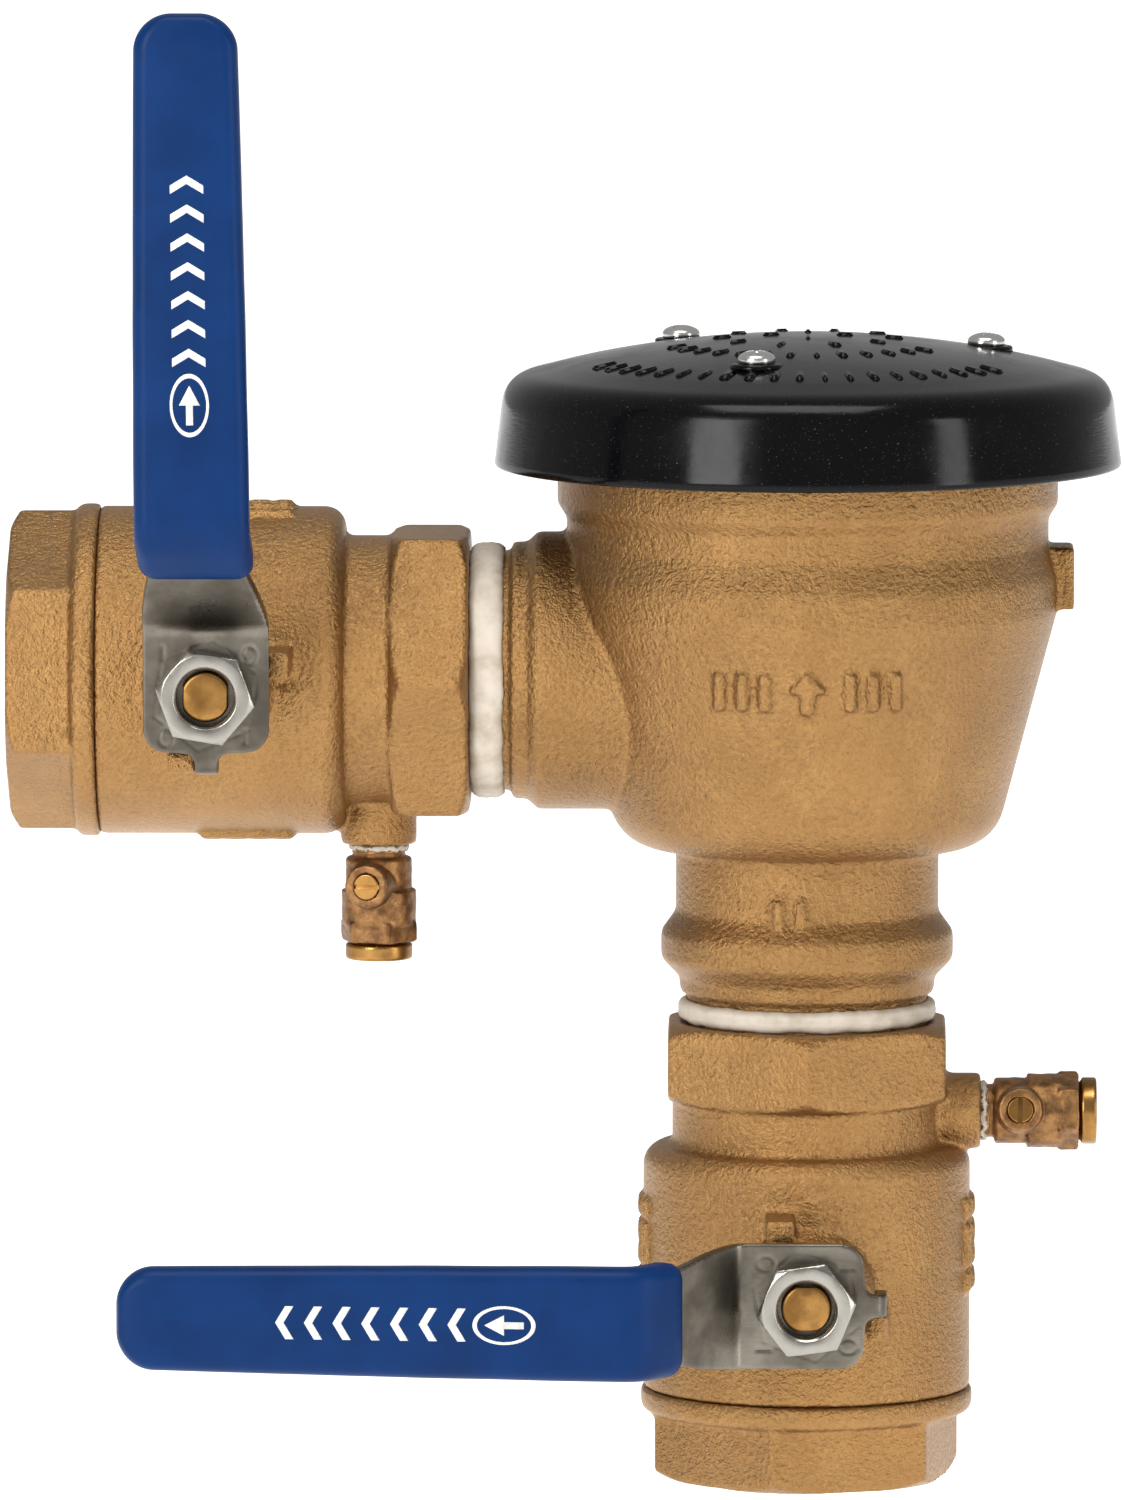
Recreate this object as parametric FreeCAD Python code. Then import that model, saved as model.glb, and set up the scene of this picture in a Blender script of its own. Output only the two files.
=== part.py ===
import FreeCAD, Part
import math
import os

# Pressure vacuum breaker backflow preventer, 2 inch class, in millimetres.
# The inlet valve stands on its free end at the origin, the water runs up +Z
# and leaves towards -X through the outlet valve. The levers face -Y.

V = FreeCAD.Vector

# Fits
running_gap = 0.05
thread_gap = 0.1
stop_gap = 0.2
seat_gap = 0.1

# Pipe thread between the vacuum breaker and its two valves
pipe_thread_r = 29.3
pipe_thread_engaged = 18.0
valve_thread_depth = 20.0
port_thread_step = 0.8
port_thread_depth = 19.0
tape_thickness = 1.8

# Ball valve: sizes along its own axis, from the free end
ball_r = 30.0
ball_bore_r = 19.5
ball_to_cavity = 6.0
valve_wall = 4.1
valve_waterway_r = 21.0
seat_depth = 8.0
ball_past_seat = 6.0
ball_past_seat_r = 2.5
ball_slot_depth = 4.6
tang_width = 8.0
tang_length = 18.0
end_hex_length = 16.0
end_collar_length = 6.0
seam_to_seat = 4.0
shoulder_past_seat = 8.0
neck_length = 11.5
body_hex_length = 19.0
hex_wall = 4.7
neck_wall = 3.7
hex_chamfer = 4.2

# Stem, packing and lever: heights above the valve's outer wall
stem_r = 6.5
stem_collar_step = 3.5
stem_flat_depth = 1.9
boss_height = 9.9
boss_wall = 3.0
boss_flare = 3.0
packing_height = 4.5
packing_nut_hex = 5.5
lever_from_boss = 8.0
lever_thickness = 3.0
handle_nut_wall = 3.7
handle_nut_height = 7.0
stem_end = 3.2

# Lever outline
plate_width = 30.4
plate_past_boss = 1.1
plate_corner_r = 6.0
first_bend = 16.7
second_bend = 41.0
lever_offset = 25.5
lever_length = 163.0
lever_arm_width = 20.0
bend_r = 7.0
tab_width = 5.6
tab_past_plate = 5.4
tab_depth = 10.4
post_width = 6.6
post_above_boss = 4.0
grip_start = 32.6
grip_past_lever = 3.0
grip_width = 27.6
grip_end_width = 23.0
grip_thickness = 9.0

# How the two valves and their cocks were turned and bent when fitted
inlet_hex_angle = -72.0
outlet_hex_angle = -95.0
inlet_cock_turn = -8.0
outlet_cock_turn = 15.0
inlet_arm_shifts = (-0.9, 0.5)
outlet_arm_shifts = (-2.3, -3.6)

# Test cock: sizes along its own axis, from the face of its boss
cock_boss_r = 9.3
cock_boss_height = 2.6
cock_from_shoulder = 8.0
cock_thread_r = 6.5
cock_thread_in = 7.0
cock_thread_out = 3.2
cock_wall = 3.3
cock_step_height = 1.0
cock_hex_length = 5.2
cock_ball_to_hex = 9.2
cock_tip_length = 4.4
cock_tip_wall = 3.2
cock_port_r = 5.0
cock_port_depth = 8.4
cock_ball_r = 4.8
cock_bore_r = 2.6
cock_stem_r = 3.2
cock_stem_height = 6.7
cock_stem_wall = 2.2
cock_tape_thickness = 0.5
cock_seat_behind = 0.4
cock_seat_depth = 2.4
cock_slot_depth = 1.2
cock_tang_width = 1.6

# Vacuum breaker body
outlet_rise = 86.0
branch_past_bulge = 8.3
branch_end_length = 31.0
branch_wall = 4.7
branch_step = 2.2
bulge_r = 61.2
waist_step = 2.3
foot_past_seat = 18.7
neck_step = 2.9
ring_step = 6.5
waterway_wall = 4.3
bonnet_wall = 4.4
body_wall = 5.0
lug_height_out = 3.9
lug_width = 16.0
lug_height = 15.2

# Check and air inlet
check_seat_step = 2.0
check_seat_width = 6.5
check_spring_length = 32.0
check_stem_r = 5.0
check_spring_gap = 7.0
check_spring_wire = 1.8
cage_step = 1.5
cage_width = 5.5
air_seat_width = 4.0
air_opening_r = 32.0
air_stem_r = 4.0
air_travel = 5.9
air_spring_r = 8.5
air_spring_wire = 1.2

# Canopy
canopy_overhang = 15.4
canopy_draft = 2.6
canopy_dome_r = 260.0
canopy_height = 32.0
canopy_wall = 3.0
canopy_shoulder_r = 9.0
screws_past_opening = 13.0
screw_r = 2.0
screw_length = 14.0
post_r = 5.0
post_spigot_r = 3.0
post_spigot_length = 7.0
screw_head_r = 4.6
screw_head_height = 3.2
screw_angles = [-106.0, 14.0, 134.0]
spoke_angles = [74.0, 194.0, 314.0]

# Sizes that follow from the ones above
port_thread_r = pipe_thread_r - port_thread_step
stem_collar_r = stem_r + stem_collar_step
stem_flat_half = stem_r - stem_flat_depth
boss_top_r = stem_collar_r + boss_wall
boss_foot_r = boss_top_r + boss_flare
packing_nut_af = 2 * stem_collar_r + 2.0
handle_nut_af = 2 * (stem_r + handle_nut_wall)
plate_reach = boss_top_r + plate_past_boss
tab_inner = plate_reach + 0.5
tab_outer = plate_reach + tab_past_plate
grip_end = lever_length + grip_past_lever
cavity_r = ball_r + ball_to_cavity
seat_far = ball_r - ball_past_seat
seat_r = ball_r - ball_past_seat_r
valve_body_r = cavity_r + valve_wall
collar_r = valve_body_r + 0.6
spigot_r = cavity_r + 1.0
valve_hex_af = 2 * (pipe_thread_r + hex_wall)
valve_neck_r = pipe_thread_r + neck_wall
shoulder_round = min(5.0, 0.7 * (valve_body_r - valve_neck_r))
seam_at = end_hex_length + end_collar_length
stem_at = seam_at + seam_to_seat + seat_far
spigot_length = seam_to_seat + seat_depth
shoulder_at = stem_at + seat_far + shoulder_past_seat
body_hex_at = shoulder_at + neck_length
valve_length = body_hex_at + body_hex_length
cock_at = shoulder_at + cock_from_shoulder
cock_boss_reach = valve_body_r + cock_boss_height
cock_small_r = cock_ball_r + cock_wall
cock_large_r = cock_small_r + cock_step_height
cock_hex_af = 2 * cock_large_r - 1.3
cock_tip_thread_r = cock_ball_r + 1.6
cock_tip_r = cock_port_r + cock_tip_wall
cock_seat_far = cock_ball_r + cock_seat_behind
cock_tang_half = cock_seat_far - cock_seat_depth - stop_gap
cock_stem_at = cock_thread_out + 1.2 + cock_seat_far
cock_step = cock_stem_at + 1.7
cock_hex_start = cock_stem_at + cock_ball_to_hex
cock_hex_end = cock_hex_start + cock_hex_length
cock_tip_end = cock_hex_end + cock_tip_length
cock_stem_reach = cock_ball_r + cock_stem_height
cock_stem_boss_r = cock_stem_r + cock_stem_wall
boss_top = valve_body_r + boss_height
lever_at = boss_top + lever_from_boss
lever_top = lever_at + lever_thickness
nut_top = lever_top + handle_nut_height
packing_foot = boss_top - 7.0

waterway_r = pipe_thread_r - waterway_wall
neck_r = pipe_thread_r + neck_step
ring_r = pipe_thread_r + ring_step
branch_r = pipe_thread_r + branch_wall
branch_step_r = pipe_thread_r + branch_step
branch_shoulder = bulge_r + branch_past_bulge
outlet_reach = branch_shoulder + branch_end_length
waist_r = bulge_r - waist_step
bonnet_thread_r = waist_r - bonnet_wall
lug_reach = bulge_r + lug_height_out
canopy_r = bulge_r + canopy_overhang
canopy_top_r = canopy_r - canopy_draft
check_seat_r = waterway_r + check_seat_step
check_bore_r = check_seat_r - check_seat_width
check_plate_r = check_seat_r - 2.0
check_spring_r = check_stem_r + check_spring_gap
body_foot_r = check_seat_r + foot_past_seat
cage_foot_r = check_seat_r + cage_step + cage_width
air_plate_r = air_opening_r + air_seat_width
screw_circle_r = air_opening_r + screws_past_opening

outlet_z = valve_length + outlet_rise
spigot_foot = valve_length - pipe_thread_engaged
thread_top = valve_length + 7.0
neck_top = valve_length + 43.0
floor_z = valve_length + 50.5
seat_foot = floor_z - 6.0
seat_lip = floor_z + 1.0
disc_foot = seat_lip + seat_gap
plate_foot = disc_foot + 2.9
plate_top = plate_foot + 4.0
cage_top = plate_top + check_spring_length
bulge_low = outlet_z + 15.5
bulge_high = outlet_z + 23.5
waist_low = outlet_z + 31.5
waist_high = outlet_z + 38.0
rim_low = outlet_z + 41.5
rim_z = outlet_z + 53.5
bonnet_foot = rim_z - 11.0
bonnet_top = rim_z + 4.0
hub_top = rim_z + 6.0
post_foot = bonnet_top - post_spigot_length
canopy_foot = rim_z - 3.0
canopy_apex = canopy_foot + canopy_height
screw_seat = canopy_apex - screw_circle_r ** 2 / (2 * canopy_dome_r) + 0.4
post_top = screw_seat - canopy_wall - 1.8
seal_top = bonnet_foot - air_travel - seat_gap
air_plate_top = seal_top - 2.0
air_plate_foot = air_plate_top - 5.0
outlet_frame = FreeCAD.Placement(
    V(-outlet_reach + pipe_thread_engaged - valve_length, 0, outlet_z),
    FreeCAD.Rotation(V(0, 1, 0), 90))
inlet_frame = FreeCAD.Placement()


def outline(points):
    # Closed wire in the XZ plane; a third number rounds that corner.
    corners = []
    count = len(points)
    for index, point in enumerate(points):
        here = V(point[0], 0, point[1])
        before = V(points[index - 1][0], 0, points[index - 1][1])
        after = V(points[(index + 1) % count][0], 0, points[(index + 1) % count][1])
        if len(point) == 2:
            corners.append((here, None, here))
            continue
        back = (before - here).normalize()
        on = (after - here).normalize()
        half = back.getAngle(on) / 2
        length = point[2] / math.tan(half)
        middle = (back + on).normalize() * (point[2] / math.sin(half) - point[2])
        corners.append((here + back * length, here + middle, here + on * length))
    edges = []
    for index, (first, middle, last) in enumerate(corners):
        if middle:
            edges.append(Part.Arc(first, middle, last).toShape())
        following = corners[(index + 1) % count][0]
        if (following - last).Length > 1e-6:
            edges.append(Part.LineSegment(last, following).toShape())
    return Part.Wire(edges)


def turned(points):
    return Part.Face(outline(points)).revolve(V(0, 0, 0), V(0, 0, 1), 360)


def ring(inner, outer, low, high):
    return turned([(inner, low), (outer, low), (outer, high), (inner, high)])


def rod(radius, low, high):
    return Part.makeCylinder(radius, high - low, V(0, 0, low))


def block(x0, x1, y0, y1, z0, z1):
    return Part.makeBox(x1 - x0, y1 - y0, z1 - z0, V(x0, y0, z0))


def hexagon(across_flats, low, high, flat_angle, chamfer_low, chamfer_high):
    # Hexagonal prism along Z with turned chamfers on its corners.
    corner = across_flats / 2 / math.cos(math.radians(30))
    points = []
    for step in range(7):
        angle = math.radians(flat_angle + 30 + 60 * step)
        points.append(V(corner * math.cos(angle), corner * math.sin(angle), low))
    prism = Part.Face(Part.makePolygon(points)).extrude(V(0, 0, high - low))
    slope = 0.55
    return prism.common(turned([
        (0, low),
        (corner - chamfer_low, low),
        (corner, low + chamfer_low * slope),
        (corner, high - chamfer_high * slope),
        (corner - chamfer_high, high),
        (0, high)]))


def toFront(shape, along):
    # Turns a shape made about +Z so that it points to -Y at the given height.
    moved = shape.copy()
    moved.Placement = FreeCAD.Placement(V(0, 0, along), FreeCAD.Rotation(V(1, 0, 0), 90))
    return moved


def toSide(shape, start, along):
    # Turns a shape made about +Z so that it points to +X.
    moved = shape.copy()
    moved.Placement = FreeCAD.Placement(V(start, 0, along), FreeCAD.Rotation(V(0, 1, 0), 90))
    return moved


def turnedAbout(shape, degrees):
    moved = shape.copy()
    moved.rotate(V(0, 0, 0), V(0, 0, 1), degrees)
    return moved


def joined(first, others):
    return first.fuse(others).removeSplitter()


def coil(radius, wire, low, high, turns):
    # Open coil spring whose wire stays between the two heights.
    start = low + wire / 2
    height = high - low - wire
    helix = Part.makeHelix(height / turns, height, radius)
    section = Part.Wire(Part.makeCircle(wire / 2, V(radius, 0, 0), V(0, 1, 0)))
    spring = Part.Wire(helix.Edges).makePipeShell([section], True, True)
    spring.translate(V(0, 0, start))
    return spring


# Shut-off valve pieces, in the valve's own frame

def valveBody():
    core = turned([
        (0, seam_at),
        (valve_body_r, seam_at, 0.8),
        (valve_body_r, shoulder_at, shoulder_round),
        (valve_neck_r, shoulder_at, 0.3 * shoulder_round),
        (valve_neck_r, valve_length - 2),
        (0, valve_length - 2)])
    nut = hexagon(valve_hex_af, body_hex_at, valve_length, 0, hex_chamfer, hex_chamfer)
    boss = toFront(turned([
        (0, cavity_r - 2),
        (boss_foot_r + 1.5, cavity_r - 2),
        (boss_foot_r, boss_top - 9, 3),
        (boss_top_r, boss_top - 4, 3),
        (boss_top_r, boss_top, 0.8),
        (0, boss_top)]), stem_at)
    post_front = -(boss_top + post_above_boss)
    beside = tab_width / 2 + stop_gap
    closed_post = block(tab_inner, tab_outer + 0.3, post_front, 2 - cavity_r,
                        stem_at - beside - post_width, stem_at - beside)
    open_post = block(-beside - post_width, -beside, post_front, 2 - cavity_r,
                      stem_at + tab_inner, stem_at + tab_outer + 0.3)
    cock_boss = toSide(turned([
        (0, waterway_r),
        (cock_boss_r, waterway_r),
        (cock_boss_r, cock_boss_reach, 0.8),
        (0, cock_boss_reach)]), 0, cock_at)
    solid = core.fuse([nut, boss, closed_post, open_post, cock_boss])
    inside = turned([
        (0, seam_at - 1),
        (spigot_r + running_gap, seam_at - 1),
        (spigot_r + running_gap, seam_at + spigot_length),
        (cavity_r, seam_at + spigot_length),
        (cavity_r, stem_at + seat_far - seat_depth),
        (seat_r + running_gap, stem_at + seat_far - seat_depth),
        (seat_r + running_gap, stem_at + seat_far),
        (valve_waterway_r, stem_at + seat_far),
        (valve_waterway_r, valve_length - valve_thread_depth),
        (pipe_thread_r + thread_gap, valve_length - valve_thread_depth),
        (pipe_thread_r + thread_gap, valve_length - 1.5),
        (pipe_thread_r + thread_gap + 1.5, valve_length),
        (pipe_thread_r + thread_gap + 1.5, valve_length + 1),
        (0, valve_length + 1)])
    collar_top = cavity_r + 3
    stem_hole = toFront(turned([
        (0, cavity_r - 8),
        (stem_collar_r + running_gap, cavity_r - 8),
        (stem_collar_r + running_gap, collar_top),
        (stem_r + running_gap, collar_top),
        (stem_r + running_gap, packing_foot),
        (stem_collar_r, packing_foot),
        (stem_collar_r, boss_top + 1),
        (0, boss_top + 1)]), stem_at)
    cock_hole = toSide(turned([
        (0, valve_waterway_r - 4),
        (cock_bore_r, valve_waterway_r - 4),
        (cock_bore_r, cock_boss_reach - cock_thread_in),
        (cock_thread_r + thread_gap, cock_boss_reach - cock_thread_in),
        (cock_thread_r + thread_gap, cock_boss_reach + 1),
        (0, cock_boss_reach + 1)]), 0, cock_at)
    return solid.cut([inside, stem_hole, cock_hole]).removeSplitter()


def endPiece(flat_angle):
    nut = hexagon(valve_hex_af, 0, end_hex_length + 1, flat_angle, hex_chamfer, 0.1)
    collar = turned([
        (0, end_hex_length),
        (collar_r, end_hex_length, 2.4),
        (collar_r, seam_at, 0.8),
        (0, seam_at)])
    spigot = rod(spigot_r, seam_at - 1, seam_at + spigot_length)
    seat_foot_at = stem_at - seat_far
    inside = turned([
        (0, -1),
        (port_thread_r, -1),
        (port_thread_r, port_thread_depth),
        (valve_waterway_r, port_thread_depth),
        (valve_waterway_r, seat_foot_at),
        (seat_r + running_gap, seat_foot_at),
        (seat_r + running_gap, seam_at + spigot_length + 1),
        (0, seam_at + spigot_length + 1)])
    groove = ring(spigot_r - 2, spigot_r + 1, seam_at + 4, seam_at + 6.5)
    return joined(nut, [collar, spigot]).cut([inside, groove])


def endSeal():
    low = seam_at + 4
    return turned([
        (spigot_r - 2, low),
        (spigot_r, low, 0.8),
        (spigot_r, low + 2.5, 0.8),
        (spigot_r - 2, low + 2.5)])


def floatingBall(radius, bore_r, tang_w, tang_l, slot_depth):
    # Centred on the origin: bore along X, slot for the stem's tang along Z.
    sphere = Part.makeSphere(radius)
    sphere.rotate(V(0, 0, 0), V(0, 0, 1), 45)
    bore = Part.makeCylinder(bore_r, 2 * radius + 2, V(-radius - 1, 0, 0), V(1, 0, 0))
    slot_width = tang_w / 2 + running_gap
    slot_length = 1.1 * tang_l / 2
    slot = block(-slot_width, slot_width, -radius - 1, slot_depth - radius,
                 -slot_length, slot_length)
    return sphere.cut([bore, slot])


def seatPair(radius, inner, outer, far, depth):
    # The two rings that hold a ball between them, along Z.
    ball_space = Part.makeSphere(radius + running_gap)
    upper = ring(inner, outer, far - depth + 0.4, far).cut(ball_space)
    lower = ring(inner, outer, -far, -far + depth - 0.4).cut(ball_space)
    return Part.makeCompound([lower, upper])


def valveStem():
    tang = block(-tang_width / 2, tang_width / 2, -cavity_r, ball_slot_depth - ball_r,
                 -tang_length / 2, tang_length / 2)
    tang.translate(V(0, 0, stem_at))
    flats = toFront(block(-stem_r, stem_r, -stem_flat_half, stem_flat_half,
                          lever_at, nut_top + stem_end), stem_at)
    shank = toFront(turned([
        (0, cavity_r - 2),
        (stem_collar_r, cavity_r - 2),
        (stem_collar_r, cavity_r + 2.9),
        (stem_r, cavity_r + 2.9),
        (stem_r, lever_at),
        (0, lever_at)]), stem_at)
    threaded = toFront(turned([
        (0, lever_at),
        (stem_r, lever_at),
        (stem_r, nut_top + stem_end, 0.9),
        (0, nut_top + stem_end)]), stem_at)
    return shank.fuse([tang, threaded.common(flats)]).removeSplitter()


def stemPacking():
    return toFront(ring(stem_r + running_gap, stem_collar_r - 0.05, packing_foot,
                        packing_foot + packing_height), stem_at)


def packingNut():
    top = boss_top + packing_nut_hex
    nose = rod(stem_collar_r - 0.1, packing_foot + packing_height, boss_top + 1)
    nut = hexagon(packing_nut_af, boss_top, top, 0, 0.1, 1.6)
    bore = rod(stem_r + running_gap, packing_foot, top + 1)
    return toFront(joined(nose, [nut]).cut(bore), stem_at)


def leverPath(half_thickness, length):
    # Side view of the lever from its hub to its end, thickened both ways.
    middle = lever_at + lever_thickness / 2
    raised = middle + lever_offset
    rise = math.atan2(lever_offset, second_bend - first_bend)
    shift = half_thickness * math.tan(rise / 2)
    low = half_thickness
    return [
        (plate_reach, middle - low),
        (plate_reach, middle + low),
        (-first_bend - shift, middle + low, bend_r - low),
        (-second_bend - shift, raised + low, bend_r + low),
        (-length, raised + low),
        (-length, raised - low),
        (-second_bend + shift, raised - low, bend_r - low),
        (-first_bend + shift, middle - low, bend_r + low)]


def sideSlab(points, half_width):
    # The outline holds (along X, away from the valve); the slab is centred on Z.
    slab = Part.Face(outline(points)).extrude(V(0, 2 * half_width, 0))
    slab.translate(V(0, -half_width, 0))
    slab.rotate(V(0, 0, 0), V(1, 0, 0), 90)
    return slab


def planSlab(points, height):
    # The outline holds (along X, along Z) and is made thick towards -Y.
    slab = Part.Face(outline(points)).extrude(V(0, height, 0))
    slab.translate(V(0, -height, 0))
    return slab


def valveHandle(near_shift, far_shift):
    # The shifts set the arm a little to one side at its bend and at its end.
    half = plate_width / 2
    arm = lever_arm_width / 2
    plan = planSlab([
        (plate_reach, -half, plate_corner_r),
        (plate_reach, half, plate_corner_r),
        (-first_bend - 2, half, 4),
        (-second_bend, near_shift + arm, 4),
        (-lever_length, far_shift + arm, 8),
        (-lever_length, far_shift - arm, 8),
        (-second_bend, near_shift - arm, 4),
        (-first_bend - 2, -half, 4)], 2 * lever_at)
    arm_shape = sideSlab(leverPath(lever_thickness / 2, lever_length), half).common(plan)
    tab = sideSlab([
        (plate_reach - 2, lever_top),
        (tab_outer, lever_top, lever_thickness + 0.5),
        (tab_outer, lever_top - tab_depth),
        (tab_outer - lever_thickness, lever_top - tab_depth),
        (tab_outer - lever_thickness, lever_at, 0.5),
        (plate_reach - 2, lever_at)], tab_width / 2)
    handle = joined(arm_shape, [tab])
    handle.translate(V(0, 0, stem_at))
    return handle.cut(valveStem())


def valveGrip(handle, near_shift, far_shift):
    half = grip_width / 2
    tip = grip_end_width / 2
    taper_shift = far_shift + (near_shift - far_shift) * 30 / (lever_length - second_bend)
    plan = planSlab([
        (-grip_start, near_shift - half, 3),
        (-grip_start, near_shift + half, 3),
        (-grip_end + 30, taper_shift + half, 60),
        (-grip_end, far_shift + tip, 10),
        (-grip_end, far_shift - tip, 10),
        (-grip_end + 30, taper_shift - half, 60)], 2 * lever_at)
    grip = sideSlab(leverPath(grip_thickness / 2, grip_end), plate_width).common(plan)
    grip.translate(V(0, 0, stem_at))
    return grip.cut(handle)


def handleNut():
    nut = hexagon(handle_nut_af, lever_top, nut_top, 30, 0.5, 2.0)
    return toFront(nut.cut(rod(stem_r, lever_top - 1, nut_top + 1)), stem_at)


# Test cock pieces, along +Z from the face of the boss, stem to -Y

def cockBody():
    barrel = turned([
        (0, -cock_thread_in),
        (cock_thread_r, -cock_thread_in),
        (cock_thread_r, cock_thread_out),
        (cock_small_r, cock_thread_out, 1),
        (cock_small_r, cock_step, 0.3),
        (cock_large_r, cock_step, 0.3),
        (cock_large_r, cock_hex_start + 1),
        (0, cock_hex_start + 1)])
    nut = hexagon(cock_hex_af, cock_hex_start, cock_hex_end, 90, 0.9, 0.9)
    boss = toFront(turned([
        (0, 0),
        (cock_stem_boss_r + 1, 0),
        (cock_stem_boss_r, cock_stem_reach - 0.4, 0.6),
        (0, cock_stem_reach - 0.4)]), cock_stem_at)
    inside = turned([
        (0, -cock_thread_in - 1),
        (cock_bore_r, -cock_thread_in - 1),
        (cock_bore_r, cock_stem_at - cock_seat_far),
        (cock_ball_r + 0.15, cock_stem_at - cock_seat_far),
        (cock_ball_r + 0.15, cock_stem_at + cock_seat_far),
        (cock_tip_thread_r, cock_stem_at + cock_seat_far),
        (cock_tip_thread_r, cock_hex_end + 1),
        (0, cock_hex_end + 1)])
    hole = toFront(rod(cock_stem_r + running_gap, 0, cock_stem_reach + 1), cock_stem_at)
    return barrel.fuse([nut, boss]).cut([inside, hole]).removeSplitter()


def cockStem():
    low = cock_ball_r + 0.1
    shank = turned([
        (0, low),
        (cock_stem_r, low),
        (cock_stem_r, low + 1.6),
        (cock_stem_r - 0.9, low + 1.6),
        (cock_stem_r - 0.9, low + 3.2),
        (cock_stem_r, low + 3.2),
        (cock_stem_r, cock_stem_reach, 0.4),
        (0, cock_stem_reach)])
    tang = block(-cock_tang_half, cock_tang_half, -cock_tang_width / 2, cock_tang_width / 2,
                 low - cock_slot_depth - 0.1, low + 0.5)
    slot = block(-cock_stem_r - 1, cock_stem_r + 1, -0.55, 0.55,
                 cock_stem_reach - 1.5, cock_stem_reach + 1)
    return toFront(joined(shank, [turnedAbout(tang, 90)]).cut(slot), cock_stem_at)


def cockStemSeal():
    low = cock_ball_r + 1.7
    return toFront(ring(cock_stem_r - 0.9, cock_stem_r, low, low + 1.6), cock_stem_at)


def cockTip():
    foot = cock_stem_at + cock_seat_far
    bore = turned([
        (0, foot - 1),
        (cock_bore_r, foot - 1),
        (cock_bore_r, cock_tip_end - cock_port_depth),
        (cock_port_r, cock_tip_end - cock_port_depth),
        (cock_port_r, cock_tip_end - 0.8),
        (cock_port_r + 1.2, cock_tip_end + 0.4),
        (0, cock_tip_end + 0.4)])
    barrel = turned([
        (0, foot),
        (cock_tip_thread_r - running_gap, foot),
        (cock_tip_thread_r - running_gap, cock_hex_end),
        (cock_tip_r - 1, cock_hex_end),
        (cock_tip_r - 1, cock_hex_end + 0.6),
        (cock_tip_r, cock_hex_end + 0.6, 0.5),
        (cock_tip_r, cock_tip_end, 0.7),
        (0, cock_tip_end)])
    return barrel.cut(bore)


# Vacuum breaker pieces, about the inlet's axis

def breakerBody():
    shell = turned([
        (0, spigot_foot),
        (pipe_thread_r, spigot_foot, 1),
        (pipe_thread_r, thread_top),
        (ring_r - 4.7, thread_top + 0.2),
        (ring_r - 4.4, thread_top + 4, 1),
        (ring_r, thread_top + 8.5, 3),
        (ring_r, thread_top + 15, 3),
        (neck_r, thread_top + 20, 2),
        (neck_r, neck_top, 2),
        (body_foot_r, neck_top, 12),
        (bulge_r, bulge_low, 6),
        (bulge_r, bulge_high, 4),
        (waist_r, waist_low, 2),
        (waist_r, waist_high, 2),
        (bulge_r, rim_low, 1.5),
        (bulge_r, rim_z, 1),
        (0, rim_z)])
    branch = turned([
        (0, 20),
        (branch_r, 20),
        (branch_r, branch_shoulder - 3.5, 1.5),
        (branch_step_r, branch_shoulder - 1),
        (branch_step_r, branch_shoulder + 2.5, 0.6),
        (pipe_thread_r, branch_shoulder + 2.8),
        (pipe_thread_r, outlet_reach, 1),
        (0, outlet_reach)])
    lug = block(bulge_r - 8, lug_reach, -lug_width / 2, lug_width / 2,
                bulge_low + 0.3, bulge_low + 0.3 + lug_height)
    chamber = turned([
        (0, spigot_foot - 1),
        (waterway_r, spigot_foot - 1),
        (waterway_r, seat_foot),
        (check_seat_r + running_gap, seat_foot),
        (check_seat_r + running_gap, floor_z),
        (body_foot_r - body_wall, floor_z, 6),
        (bulge_r - body_wall - 0.5, bulge_low, 4),
        (bulge_r - body_wall - 0.5, bulge_high, 3),
        (waist_r - body_wall, waist_low, 1),
        (waist_r - body_wall, rim_low),
        (bonnet_thread_r, rim_low),
        (bonnet_thread_r, rim_z + 1),
        (0, rim_z + 1)])
    outwards = [toSide(shape, 0, outlet_z) for shape in
                (branch, rod(waterway_r, 0, outlet_reach + 1))]
    for shape in outwards:
        shape.rotate(V(0, 0, 0), V(0, 0, 1), 180)
    return shell.fuse([outwards[0], lug]).cut([chamber, outwards[1]]).removeSplitter()


def threadTape(low, high, outer):
    return turned([
        (pipe_thread_r, low),
        (outer, low, 0.4),
        (outer - 0.8, high, 0.4),
        (pipe_thread_r, high)])


def bonnet():
    rim = turned([
        (air_opening_r, bonnet_foot),
        (bonnet_thread_r - thread_gap, bonnet_foot, 0.8),
        (bonnet_thread_r - thread_gap, rim_z),
        (waist_r, rim_z),
        (waist_r, bonnet_top, 1),
        (air_opening_r, bonnet_top)])
    holes = [onScrewCircle(rod(post_spigot_r + running_gap, post_foot, bonnet_top + 1), angle)
             for angle in screw_angles]
    groove = ring(bonnet_thread_r - 2.4, bonnet_thread_r + 1, rim_z - 7, rim_z - 4.6)
    return rim.cut([groove] + holes).removeSplitter()


def canopyPost(angle):
    # A pillar screwed into the bonnet, tapped at its top for the canopy's screw.
    post = turned([
        (0, post_foot),
        (post_spigot_r, post_foot, 0.6),
        (post_spigot_r, bonnet_top),
        (post_r, bonnet_top),
        (post_r, post_top, 0.5),
        (0, post_top)])
    tapped = rod(screw_r + running_gap, screw_seat - screw_length - 1, post_top + 1)
    return onScrewCircle(post.cut(tapped), angle)


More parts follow.
